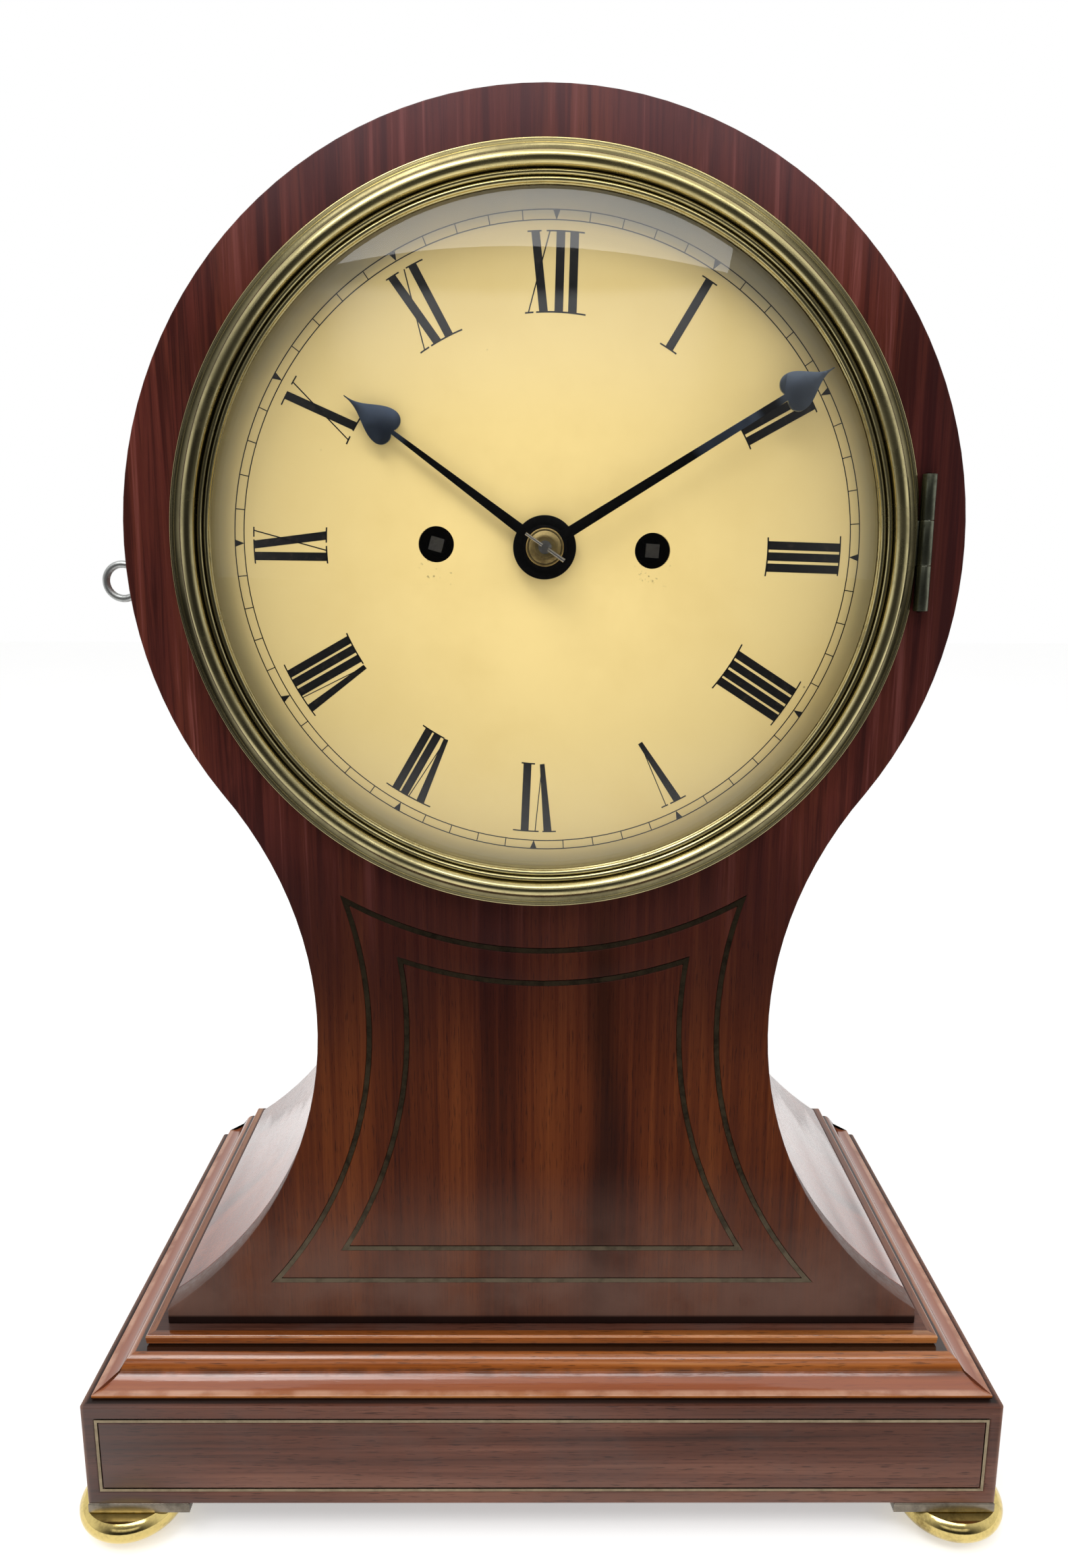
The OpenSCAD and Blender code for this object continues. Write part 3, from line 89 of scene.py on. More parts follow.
def piece(name, points, faces, finishes, body, crease, picks=None):
    """Mesh piece in place: points that coincide become one, faces that collapse go, and every shell faces
    outwards. Edges sharper than the crease, in degrees, stay crisp; picks gives each face its finish."""
    flat = points.reshape(-1, 3)
    _, first, back = np.unique(np.round(flat, 4), axis=0, return_index=True, return_inverse=True)
    corner = back.reshape(-1)[faces]
    same = corner == np.roll(corner, -1, axis=1)
    whole = same.sum(1) == 0
    three = same.sum(1) == 1
    keep = corner[whole].tolist() + corner[three][~same[three]].reshape(-1, 3).tolist()
    mesh = bpy.data.meshes.new(name)
    mesh.from_pydata((flat[first] * MM).tolist(), [], keep)
    for finish in finishes:
        mesh.materials.append(finish)
    if picks is not None:
        order = np.concatenate([picks[whole], picks[three]]).astype(np.int32)
        mesh.polygons.foreach_set("material_index", order)
    shell = bmesh.new()
    shell.from_mesh(mesh)
    bmesh.ops.recalc_face_normals(shell, faces=shell.faces)
    shell.to_mesh(mesh)
    shell.free()
    mesh.polygons.foreach_set("use_smooth", np.ones(len(mesh.polygons), dtype=bool))
    mesh.set_sharp_from_angle(angle=math.radians(crease))
    made = bpy.data.objects.new(name, mesh)
    bpy.context.scene.collection.objects.link(made)
    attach(made, body)
    return made


def joined(patches):
    """Several grids as one set of points and faces: the faces of each are numbered on from the last."""
    points, faces, start = [], [], 0
    for grid, wrap_rows, wrap_cols in patches:
        rows, cols = grid.shape[:2]
        points.append(grid.reshape(-1, 3))
        faces.append(grid_faces(rows, cols, wrap_rows, wrap_cols) + start)
        start += rows * cols
    return np.concatenate(points), np.concatenate(faces)


def arc(x, y, radius, start, stop, count):
    """Points of a circle's arc: centre plus radius times cosine and sine of evenly spaced angles."""
    a = np.radians(np.linspace(start, stop, count))
    return np.stack([x + radius * np.cos(a), y + radius * np.sin(a)], -1)


def turned_to_front(section, x, z, count):
    """Section (radius, depth) turned about a front-to-back axis: x by the sine, z by the cosine of the angle."""
    a = np.linspace(0, 2 * np.pi, count, endpoint=False)[:, None]
    radius, depth = section[:, 0][None, :], section[:, 1][None, :]
    return np.stack([x + radius * np.sin(a), depth + 0 * a, z + radius * np.cos(a)], -1)


def turned_upright(section, x, y, count):
    """Section (radius, height) turned about an upright axis: x by the cosine, y by the sine of the angle."""
    a = np.linspace(0, 2 * np.pi, count, endpoint=False)[:, None]
    radius, height = section[:, 0][None, :], section[:, 1][None, :]
    return np.stack([x + radius * np.cos(a), y + radius * np.sin(a), height + 0 * a], -1)


# Finishes


class Nodes:
    """A tree of shader nodes and short calls, each of which adds nodes and gives an output."""

    def __init__(self, tree):
        self.tree = tree

    def add(self, kind, **settings):
        node = self.tree.nodes.new(kind)
        for key, value in settings.items():
            setattr(node, key, value)
        return node

    def feed(self, socket, value):
        """A link where the value is an output, or else a constant."""
        if isinstance(value, bpy.types.NodeSocket):
            self.tree.links.new(value, socket)
        else:
            socket.default_value = value

    def maths(self, operation, *values):
        node = self.add("ShaderNodeMath", operation=operation)
        for socket, value in zip(node.inputs, values):
            self.feed(socket, value)
        return node.outputs[0]

    def times(self, a, b):
        return self.maths("MULTIPLY", a, b)

    def most(self, value, *others):
        for other in others:
            value = self.maths("MAXIMUM", value, other)
        return value

    def span(self, value, low, high, out_low=0.0, out_high=1.0):
        """Value carried from one range to another on a smooth step."""
        node = self.add("ShaderNodeMapRange", interpolation_type="SMOOTHSTEP")
        self.feed(node.inputs["Value"], value)
        for key, number in (("From Min", low), ("From Max", high), ("To Min", out_low), ("To Max", out_high)):
            node.inputs[key].default_value = number
        return node.outputs["Result"]

    def band(self, value, low, rise, fall, high, share=1.0):
        """Share that rises from low to rise and falls again from fall to high."""
        return self.times(self.span(value, low, rise), self.span(value, fall, high, share, 0.0))


class Finish(Nodes):
    """One finish: a shader whose patterns lie fixed in the object."""

    def __init__(self, name, **sockets):
        self.mat = bpy.data.materials.new(name)
        self.mat.use_nodes = True
        super().__init__(self.mat.node_tree)
        self.shader = self.tree.nodes["Principled BSDF"]
        for key, value in sockets.items():
            self.shader.inputs[key.replace("_", " ")].default_value = value
        self.place = self.add("ShaderNodeTexCoord").outputs["Object"]

    def mapped(self, scale, move=(0, 0, 0)):
        """Place in the object, scaled and then moved."""
        node = self.add("ShaderNodeMapping")
        self.feed(node.inputs["Vector"], self.place)
        node.inputs["Scale"].default_value = scale
        node.inputs["Location"].default_value = move
        return node.outputs["Vector"]

    def noise(self, scale, detail=4.0, rough=0.55, warp=0.0):
        """Noise with so many waves to the metre, or with so many along each axis."""
        drawn = isinstance(scale, tuple)
        node = self.add("ShaderNodeTexNoise")
        self.feed(node.inputs["Vector"], self.mapped(scale) if drawn else self.place)
        node.inputs["Scale"].default_value = 1.0 if drawn else scale
        node.inputs["Detail"].default_value = detail
        node.inputs["Roughness"].default_value = rough
        node.inputs["Distortion"].default_value = warp
        return node.outputs["Fac"]

    def cells(self, scale):
        """Distance to the nearest of scattered points."""
        node = self.add("ShaderNodeTexVoronoi")
        self.feed(node.inputs["Vector"], self.place)
        node.inputs["Scale"].default_value = scale
        return node.outputs["Distance"]

    def blend(self, a, b, share):
        return self.maths("ADD", self.times(a, 1 - share), self.times(b, share))

    def ramp(self, value, stops):
        """Colour by value: each stop is a place from 0 to 1 with its red, green and blue."""
        node = self.add("ShaderNodeValToRGB")
        self.feed(node.inputs["Fac"], value)
        points = node.color_ramp.elements
        while len(points) < len(stops):
            points.new(0.5)
        for point, (at, *colour) in zip(points, stops):
            point.position = at
            point.color = tone(*colour)
        return node.outputs["Color"]

    def mix(self, share, a, b):
        node = self.add("ShaderNodeMix", data_type="RGBA")
        self.feed(node.inputs["Factor"], share)
        self.feed(node.inputs[6], a)
        self.feed(node.inputs[7], b)
        return node.outputs[2]

    def parts(self):
        """Place in the object along x, y and z, in millimetres."""
        node = self.add("ShaderNodeSeparateXYZ")
        self.feed(node.inputs[0], self.mapped((1000, 1000, 1000)))
        return node.outputs

    def radius(self, x, z):
        """Distance from a front-to-back axis, in millimetres."""
        node = self.add("ShaderNodeVectorMath", operation="LENGTH")
        self.feed(node.inputs[0], self.mapped((1000, 0, 1000), (-x, 0, -z)))
        return node.outputs["Value"]

    def bump(self, height, strength, distance):
        node = self.add("ShaderNodeBump")
        node.inputs["Strength"].default_value = strength
        node.inputs["Distance"].default_value = distance
        self.feed(node.inputs["Height"], height)
        self.feed(self.shader.inputs["Normal"], node.outputs["Normal"])

    def colour(self, value):
        self.feed(self.shader.inputs["Base Color"], value)

    def rough(self, value):
        self.feed(self.shader.inputs["Roughness"], value)


# Waves to the metre of streaks, figure and pores, for grain along each axis
GRAIN = {
    "x": ((8, 700, 700), (2.2, 40, 40), (150, 2400, 2400)),
    "y": ((700, 8, 700), (40, 2.2, 40), (2400, 150, 2400)),
    "z": ((700, 700, 8), (40, 40, 2.2), (2400, 2400, 150)),
}


def mahogany(name, along, stops, gloss, **sockets):
    """Polished wood: fine streaks and broad figure drawn out along one axis, with short dark pores."""
    wood = Finish(name, **sockets)
    fine, broad, pore = GRAIN[along]
    streak = wood.noise(fine, 4.0, 0.6, 0.4)
    figure = wood.noise(broad, 3.5, 0.5, 0.7)
    cloud = wood.noise(9.0, 3.0, 0.5)
    body = wood.ramp(wood.blend(streak, figure, 0.66), stops)
    body = wood.mix(wood.span(cloud, 0.35, 0.75, 0.0, 0.25), body, tone(*stops[0][1:]))
    pores = wood.span(wood.noise(pore, 2.0, 0.5), 0.57, 0.70)
    body = wood.mix(wood.times(pores, 0.55), body, tone(20, 8, 6))
    wood.rough(wood.span(streak, 0.3, 0.7, *gloss))
    wood.bump(wood.maths("ADD", wood.times(pores, -0.6), streak), 0.06, 0.0004)
    return wood, body


def front_mahogany():
    """Front veneer: upright grain, orange in the middle and redder and more streaked round the dial, painted shade
    under the bezel and down the right, a pale pink painted sheen at the top, one dark streak right of the middle, a
    grey painted reflection over the foot, and a dark line at the case's foot where it meets the step, painted shade
    with dirt."""
    wood, body = mahogany(
        "mahogany_front", "z", [(0.32, 34, 12, 6), (0.45, 60, 23, 9), (0.55, 80, 35, 13), (0.70, 108, 55, 23)],
        (0.32, 0.46), Specular_IOR_Level=0.07)
    x, _, z = wood.parts()
    ring = wood.span(z, 190, 260)
    patchy = wood.span(wood.noise(30.0), 0.3, 0.7, 0.35, 0.6)
    body = wood.mix(wood.times(ring, patchy), body, tone(96, 44, 39))
    grain = wood.noise((240, 240, 6), 5.0, 0.68, 0.4)
    body = wood.mix(wood.times(ring, wood.span(grain, 0.38, 0.54, 0.7, 0.0)), body, tone(40, 15, 14))
    body = wood.mix(wood.times(ring, wood.span(grain, 0.54, 0.70, 0.0, 0.6)), body, tone(132, 74, 68))
    # painted shade: darker under the bezel, and down the right side of the rim
    shade_under_bezel = wood.band(z, 150, 205, 225, 270, 0.5)
    right = wood.times(wood.span(x, 85, 125, 0.0, 0.6), ring)
    body = wood.mix(wood.most(shade_under_bezel, right), body, tone(36, 14, 17))
    # painted sheen: paler and pinker towards the top
    body = wood.mix(wood.span(z, 400, 460, 0.0, 0.3), body, tone(116, 90, 96))
    wave = wood.noise((1, 1, 10), 2.0)
    along = wood.maths("ADD", x, wood.times(wave, 12))
    off = wood.maths("ABSOLUTE", wood.maths("SUBTRACT", along, 26))
    streak = wood.times(wood.span(off, 0, 9, 0.7, 0.0), wood.span(z, 200, 240, 1.0, 0.0))
    body = wood.mix(streak, body, tone(26, 9, 6))
    # painted reflection: a patchy grey haze over the foot of the front
    blotches = wood.span(wood.noise(35.0, 5.0), 0.2, 0.7, 0.35, 1.0)
    painted_reflection = wood.times(wood.span(z, 68, 135, 0.85, 0.0), blotches)
    body = wood.mix(painted_reflection, body, tone(106, 80, 70))
    # painted shade with dirt: a dark line at the case's foot where it meets the step
    foot_shade_and_dirt = wood.span(z, CASE_Z + 2.6, CASE_Z + 3.8, 0.93, 0.0)
    wood.colour(wood.mix(foot_shade_and_dirt, body, tone(20, 9, 8)))
    return wood.mat


def side_mahogany():
    """Case sides: red-brown wood under a clear coat, with a slight grey bloom in patches."""
    wood, body = mahogany(
        "mahogany_sides", "z", [(0.38, 62, 25, 15), (0.46, 92, 40, 24), (0.54, 118, 58, 36), (0.64, 140, 78, 50)],
        (0.2, 0.32), Specular_IOR_Level=0.5, Coat_Weight=1.0, Coat_Roughness=0.16, Coat_IOR=1.6,
        Coat_Tint=(1.0, 0.90, 0.88, 1.0))
    blotches = wood.span(wood.noise(28.0, 6.0, 0.6), 0.42, 0.72, 0.0, 0.06)
    wood.colour(wood.mix(blotches, body, tone(140, 116, 104)))
    return wood.mat


def moulding_mahogany(name, along):
    """Mouldings: orange wood, reddish in the hollow, with painted highlights along the edges of the fillet and the
    step broken up by wear, darker along the crease between hollow and round, and painted shade in the quirks
    under the fillet and under the step and on the step's level top."""
    wood, body = mahogany(
        name, along, [(0.36, 84, 38, 12), (0.45, 140, 74, 28), (0.55, 172, 100, 44), (0.66, 202, 138, 80)],
        (0.08, 0.17), Specular_IOR_Level=0.7)
    up = wood.maths("SUBTRACT", wood.parts()[2], BLOCK_TOP)
    worn = wood.span(wood.noise(90.0, 5.0), 0.3, 0.65, 0.2, 1.0)
    body = wood.mix(wood.band(up, 1.6, 2.4, 4.4, 5.6, 0.7), body, tone(156, 90, 66))
    # painted highlights along the fillet's edge and the step's top edge, broken up by wear
    fillet_highlight_and_wear = wood.times(wood.band(up, 1.6, 1.8, 2.05, 2.3, 0.7), worn)
    body = wood.mix(fillet_highlight_and_wear, body, tone(226, 178, 150))
    step_highlight_and_wear = wood.times(wood.band(up, 12.8, 13.1, 13.3, 13.6, 0.5), worn)
    body = wood.mix(step_highlight_and_wear, body, tone(220, 160, 112))
    # darker along the crease between the hollow and the round
    hollow = wood.times(wood.band(up, 3.2, 4.8, 5.2, 7.2, 0.6), worn)
    # painted shade in the quirks under the fillet and under the step, and on the step's level top
    shade_under_fillet = wood.span(up, 0.8, 1.5, 0.94, 0.0)
    shade_under_step = wood.band(up, 9.74, 9.8, 10.3, 10.8, 0.94)
    level = wood.span(up, 13.6, 13.68, 0.0, 0.3)
    wood.colour(wood.mix(wood.most(shade_under_fillet, shade_under_step, level, hollow), body, tone(24, 13, 9)))
    return wood.mat


def block_mahogany():
    """Base block: grain along its length, a slight grey bloom that is stronger at the left, end corners rubbed
    paler, and painted shade on the level top close to the moulding."""
    wood, body = mahogany(
        "mahogany_block", "x", [(0.36, 50, 27, 20), (0.45, 80, 47, 36), (0.55, 102, 63, 50), (0.66, 128, 86, 70)],
        (0.30, 0.48), Specular_IOR_Level=0.2)
    x, y, z = wood.parts()
    blotches = wood.span(wood.noise(28.0, 6.0, 0.6), 0.42, 0.72, 0.0, 0.25)
    left = wood.span(x, -160, -100, 0.5, 0.0)
    body = wood.mix(wood.most(blotches, left), body, tone(86, 78, 76))
    from_end = wood.maths("SUBTRACT", BASE_W / 2, wood.maths("ABSOLUTE", x))
    from_front = wood.maths("ADD", BASE_D / 2, y)
    rub = wood.times(wood.span(from_end, 0.0, 1.6, 1.0, 0.0), wood.noise(120.0, 5.0))
    body = wood.mix(rub, body, tone(158, 122, 104))
    # painted shade: dark on the level top close to the moulding
    level = wood.span(z, BLOCK_TOP - 0.3, BLOCK_TOP - 0.05, 0.0, 0.9)
    close = wood.band(wood.maths("MINIMUM", from_end, from_front), 1.0, 2.2, 4.0, 8.0)
    wood.colour(wood.mix(wood.times(level, close), body, tone(22, 14, 11)))
    return wood.mat


def oak():
    """Oak: pale brown with open grain along its height."""
    wood, body = mahogany(
        "oak", "z", [(0.28, 92, 66, 40), (0.45, 128, 96, 60), (0.62, 152, 118, 76), (0.80, 170, 136, 92)],
        (0.5, 0.65))
    wood.colour(body)
    return wood.mat


def metal(name, bright, dull, rough, patch, share=(0.35, 0.75)):
    """Worn metal: bright and dull patches, fine rubbing marks and a roughness that follows them."""
    work = Finish(name, Metallic=1.0)
    stain = work.noise(patch, 6.0, 0.6, 0.5)
    fleck = work.noise(900.0, 3.0, 0.6)
    worn = work.span(work.blend(stain, fleck, 0.2), *share)
    work.rough(work.span(worn, 0.0, 1.0, *rough))
    work.bump(work.noise((2600, 2600, 260), 2.0), 0.05, 0.0002)
    return work, work.mix(worn, tone(*bright), tone(*dull))


def plain_metal(name, *look):
    """Worn metal without further marks."""
    work, body = metal(name, *look)
    work.colour(body)
    return work.mat


def bezel_brass():
    """Bezel: aged olive brass, with painted shade at the left and a painted reflection brightening the top,
    tarnished dark in the hollow and in the quirks between its members."""
    work, body = metal("bezel_brass", (200, 188, 138), (146, 137, 100), (0.20, 0.34), 45.0)
    reach = work.radius(0, DIAL_Z)
    x, _, z = work.parts()
    hollows = [(107.6, 108.9, 111.2, 111.9, 0.75), (112.2, 112.4, 112.75, 112.95, 0.8),
               (103.6, 103.8, 104.0, 104.2, 0.6), (101.7, 101.9, 102.1, 102.3, 0.6)]
    dark = work.most(*[work.band(reach, *radii) for radii in hollows])
    dark = work.times(dark, work.span(work.noise(70.0, 5.0), 0.2, 0.6, 0.75, 1.0))
    # painted shade: duller at the left
    body = work.mix(work.span(x, -112, -60, 0.5, 0.0), body, tone(118, 110, 82))
    # painted reflection: brighter at the top
    body = work.mix(work.span(z, DIAL_Z + 70, DIAL_Z + 105, 0.0, 0.5), body, tone(226, 208, 142))
    work.colour(work.mix(dark, body, tone(58, 54, 41)))
    return work.mat


def string_brass():
    """Brass strings: dark and tarnished on the front, greyer at its foot, dull and rubbed on the base."""
    work, body = metal("string_brass", (62, 53, 40), (31, 26, 20), (0.4, 0.6), 220.0)
    z = work.parts()[2]
    body = work.mix(work.span(z, 70, 130, 0.7, 0.0), body, tone(116, 105, 88))
    base = work.mix(work.noise(320.0, 5.0), tone(158, 144, 118), tone(108, 94, 76))
    work.colour(work.mix(work.span(z, 52, 60), base, body))
    return work.mat


def blued_steel():
    """Hands: steel blued dark, bluer and greyer on the heads."""
    work, body = metal("blued_steel", (36, 36, 38), (15, 15, 16), (0.28, 0.46), 90.0)
    reach = work.radius(0, DIAL_Z)
    body = work.mix(work.band(reach, 51, 55, 72, 76, 0.8), body, tone(92, 106, 128))
    work.colour(work.mix(work.span(reach, 79, 84, 0.0, 0.85), body, tone(124, 138, 156)))
    return work.mat


def winding_steel():
    """Winding squares: grey steel at the dial, dark in the shade behind it."""
    work, body = metal("winding_steel", (120, 118, 114), (78, 76, 72), (0.34, 0.5), 140.0)
    behind = work.span(work.parts()[1], DIAL_Y + 1.0, DIAL_Y + 4.5)
    work.colour(work.mix(behind, body, tone(12, 11, 10)))
    return work.mat


def centre_brass():
    """Centre wheel: brass, with its arbor's end in front of the dial polished steel."""
    work, body = metal("centre_brass", (226, 196, 116), (190, 154, 82), (0.2, 0.36), 50.0)
    tip = work.span(work.parts()[1], -65.5, -64.5, 1.0, 0.0)
    work.colour(work.mix(tip, body, tone(214, 212, 208)))
    return work.mat


def dial_paint():
    """Dial: cream paint under painted shade that darkens it towards the rim, most at the rim's edge, and greys the
    top of the rim, with faint clouding, small specks, and dirt that keys have left under the winding holes."""
    paint = Finish("dial_paint", Specular_IOR_Level=0.3)
    reach = paint.radius(0, DIAL_Z)
    z = paint.parts()[2]
    # painted shade: darker from the middle out to the rim, and more at the rim's edge
    body = paint.mix(paint.span(reach, 20, 98), tone(255, 227, 151), tone(227, 203, 137))
    body = paint.mix(paint.span(reach, 93, 102, 0.0, 0.8), body, tone(148, 138, 98))
    # painted shade: grey-blue across the top of the rim
    top_rim_shade = paint.times(paint.span(reach, 91, 97, 0.0, 0.6), paint.span(z, DIAL_Z + 45, DIAL_Z + 85))
    body = paint.mix(top_rim_shade, body, tone(112, 116, 110))
    cloud = paint.span(paint.noise(22.0, 5.0, 0.6), 0.40, 0.75, 0.0, 0.28)
    body = paint.mix(cloud, body, tone(220, 190, 114))
    speck = paint.span(paint.cells(95.0), 0.02, 0.045, 0.5, 0.0)
    thin = paint.span(paint.noise(60.0, 2.0), 0.58, 0.66)
    body = paint.mix(paint.times(speck, thin), body, tone(70, 56, 34))
    below = paint.most(*[paint.span(paint.radius(x, DIAL_Z - 7), 2, 8, 1.0, 0.0) for x in (-WINDING_X, WINDING_X)])
    marks = paint.span(paint.noise(900.0, 3.0), 0.62, 0.70, 0.0, 0.6)
    paint.colour(paint.mix(paint.times(below, marks), body, tone(84, 64, 30)))
    paint.rough(paint.span(cloud, 0.0, 0.3, 0.38, 0.5))
    paint.bump(paint.noise(260.0, 5.0), 0.04, 0.0003)
    return paint.mat


def print_black():
    """Printing on the dial: black paint, worn a little thin."""
    ink = Finish("print_black", Specular_IOR_Level=0.15)
    ink.colour(ink.mix(ink.span(ink.noise(500.0, 5.0), 0.5, 0.8), tone(14, 13, 13), tone(44, 38, 30)))
    ink.rough(0.5)
    return ink.mat


def clear_glass():
    """Clear glass that lets the light through to the dial: see-through to rays of shadow and of spread light, glass
    to all others."""
    pane = Finish("clear_glass", Transmission_Weight=1.0, IOR=1.45, Base_Color=WHITE)
    pane.rough(pane.span(pane.noise(30.0, 4.0), 0.3, 0.8, 0.0, 0.03))
    through = pane.add("ShaderNodeBsdfTransparent")
    ray = pane.add("ShaderNodeLightPath").outputs
    pick = pane.add("ShaderNodeMixShader")
    pane.feed(pick.inputs[0], pane.most(ray["Is Shadow Ray"], ray["Is Diffuse Ray"]))
    pane.feed(pick.inputs[1], pane.shader.outputs["BSDF"])
    pane.feed(pick.inputs[2], through.outputs["BSDF"])
    pane.feed(pane.tree.nodes["Material Output"].inputs["Surface"], pick.outputs["Shader"])
    return pane.mat


def gut():
    """Gut line: pale straw strands with darker gaps along the twist."""
    line = Finish("gut", Specular_IOR_Level=0.4)
    twist = line.noise((900, 2600, 900), 3.0)
    line.colour(line.ramp(twist, [(0.3, 150, 112, 62), (0.7, 212, 180, 120)]))
    line.rough(0.5)
    line.bump(twist, 0.2, 0.0002)
    return line.mat


# Plain metals: bright and dull colour, roughness of each, patches to the metre, and for some how they are shared
METALS = {
    "foot_brass": ((214, 192, 122), (122, 104, 60), (0.10, 0.30), 42.0, (0.44, 0.70)),
    "plate_brass": ((136, 127, 114), (90, 84, 75), (0.32, 0.5), 120.0),
    "dark_brass": ((112, 114, 98), (58, 60, 48), (0.28, 0.44), 160.0),
    "collet_brass": ((200, 178, 122), (124, 104, 64), (0.3, 0.46), 150.0, (0.38, 0.68)),
    "clock_brass": ((226, 196, 116), (190, 154, 82), (0.22, 0.4), 50.0),
    # front plate painted near black as the shade inside the closed case, seen through the winding holes
    "shade_dark_plate": ((40, 32, 20), (22, 18, 13), (0.45, 0.6), 60.0),
    "bell_metal": ((206, 190, 150), (150, 128, 92), (0.2, 0.38), 40.0),
    "steel": ((176, 174, 170), (112, 108, 102), (0.24, 0.42), 140.0),
    "loop_steel": ((190, 192, 190), (132, 134, 132), (0.38, 0.52), 140.0),
}

FINISH = {
    "front": front_mahogany(),
    "sides": side_mahogany(),
    "block": block_mahogany(),
    "mould_front": moulding_mahogany("moulding_front", "x"),
    "mould_side": moulding_mahogany("moulding_side", "y"),
    "oak": oak(),
    "bezel": bezel_brass(),
    "string": string_brass(),
    "centre_brass": centre_brass(),
    "winding": winding_steel(),
    "blued": blued_steel(),
    "dial": dial_paint(),
    "print": print_black(),
    "glass": clear_glass(),
    "gut": gut(),
    **{name: plain_metal(name, *look) for name, look in METALS.items()},
}

WEARS = {
    "front": "case_front",
    "sides": "case_sides",
    "block": "base_block base_top",
    "oak": "back_frame back_door seat_board seat_rails",
    "string": "brass_stringing",
    "dark_brass": "hinge_case_leaf hinge_bezel_leaf",
    "plate_brass": "door_hinge_leaves door_hinge_straps door_hinge_pins door_lock bolt_guide",
    "steel": "door_bolt seat_bolts hinge_pin hand_pin plate_pillars barrel_arbors mainsprings anchor "
             "pendulum_rod rating_nut hammer bell_stand",
    "loop_steel": "catch_bolt",
    "winding": "going_fusee strike_fusee",
    "blued": "minute_hand hour_hand",
    "shade_dark_plate": "front_plate",
    "centre_brass": "centre_wheel",
    "clock_brass": "back_plate going_barrel strike_barrel going_great_wheel strike_great_wheel "
                   "third_wheel escape_wheel back_cock pendulum_bob pin_wheel gathering_wheel "
                   "warning_wheel fly cannon_wheel minute_wheel hour_wheel",
    "bell_metal": "bell",
    "dial": "dial",
    "gut": "gut_lines",
}

# Edge rounding in millimetres on the solids that show it
SOFT_EDGE = {
    "case_front": 0.5, "case_sides": 0.4, "base_block": 1.0, "minute_hand": 0.28, "hour_hand": 0.28,
    "hinge_case_leaf": 0.2, "hinge_bezel_leaf": 0.2, "back_door": 0.8, "back_frame": 0.6, "door_lock": 0.3,
}

# Corners nearer than this, in millimetres, merge; edges sharper than this angle are rounded or kept crisp
MERGE = 0.01
EDGE_ANGLE = math.radians(32)


def dress(name, finish):
    """A solid of the frame: its finish, merged corners, soft edges where it has them, and even shading."""
    solid = NODES[name]
    solid.data.materials.clear()
    solid.data.materials.append(finish)
    solid.data.polygons.foreach_set("use_smooth", np.ones(len(solid.data.polygons), dtype=bool))
    weld = solid.modifiers.new("merged_corners", "WELD")
    weld.merge_threshold = MERGE * MM
    if name in SOFT_EDGE:
        edge = solid.modifiers.new("soft_edges", "BEVEL")
        edge.width = SOFT_EDGE[name] * MM
        edge.segments = 3
        edge.limit_method = "ANGLE"
        edge.angle_limit = EDGE_ANGLE
        edge.harden_normals = True
    else:
        split = solid.modifiers.new("crisp_edges", "EDGE_SPLIT")
        split.split_angle = EDGE_ANGLE


for finish_name, names in WEARS.items():
    for node_name in names.split():
        dress(node_name, FINISH[finish_name])


# New pieces


def bezel_ring():
    """Bezel: its moulded section turned round the dial, held off the hinge, with the drilled tongue for the catch, a
    plate whose edge is the nearer of its upright and its level sides at each angle round the bore."""
    b, seat = BEZEL_R, 104.8
    section = np.concatenate([
        [[seat, 0.2], [b, 0.2]],
        arc(b - 0.3, 1.3, 0.3, 0, 90, 5), [[b - 0.75, 1.6]],
        arc(b - 1.15, 2.2, 0.4, 0, 90, 5), [[b - 1.7, 2.6]],
        arc(b - 1.75, 6.45, 3.35, 265, 184, 16),
        arc(b - 7.2, 6.95, 2.25, 0, 165, 26), [[b - 9.6, 6.2]],
        arc(b - 10.5, 6.2, 0.8, 20, 165, 9), [[b - 11.5, 5.7]],
        arc(b - 12.4, 5.7, 0.85, 10, 180, 11),
        [[SIGHT_R, 5.4], [SIGHT_R, 4.78], [seat, 3.4]],
    ])
    ring = turned_to_front(np.stack([section[:, 0], FRONT_Y - section[:, 1]], -1), 0, DIAL_Z, 288)
    clear, hinge_z, hinge_half = 2.72, DIAL_Z + 1.4, 20.8
    away = ring[..., :2] - np.array(HINGE)
    gap = np.linalg.norm(away, axis=-1)
    near = (gap < clear) & (np.abs(ring[..., 2] - hinge_z) < hinge_half)
    pushed = np.array(HINGE) + away / np.maximum(gap, 1e-6)[..., None] * clear
    ring[..., 0] = np.where(near, np.minimum(pushed[..., 0], ring[..., 0]), ring[..., 0])
    ring[..., 1] = np.where(near, pushed[..., 1], ring[..., 1])
    bore, half, behind, before, outer, inner = 1.9, 3.5, 3.0, 28.0, -108.5, -106.5
    corners = np.arctan2([half, half, -half, -half], [behind, -before, -before, behind])
    a = np.sort(np.concatenate([np.linspace(-np.pi, np.pi, 40, endpoint=False), corners]))
    c, s = np.cos(a), np.sin(a)
    upright = np.where(c > 0, behind, before) / np.maximum(np.abs(c), 1e-9)
    reach = np.minimum(upright, half / np.maximum(np.abs(s), 1e-9))
    loop = np.stack([np.full_like(a, bore), reach, reach, np.full_like(a, bore)], -1)
    x = np.broadcast_to(np.array([outer, outer, inner, inner]), loop.shape)
    tongue = np.stack([x, BOLT_Y + loop * c[:, None], BOLT_Z + loop * s[:, None]], -1)
    points, faces = joined([(ring, True, True), (tongue, True, True)])
    made = piece("bezel_ring", points, faces, [FINISH["bezel"]], "bezel", 28)
    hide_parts("bezel")


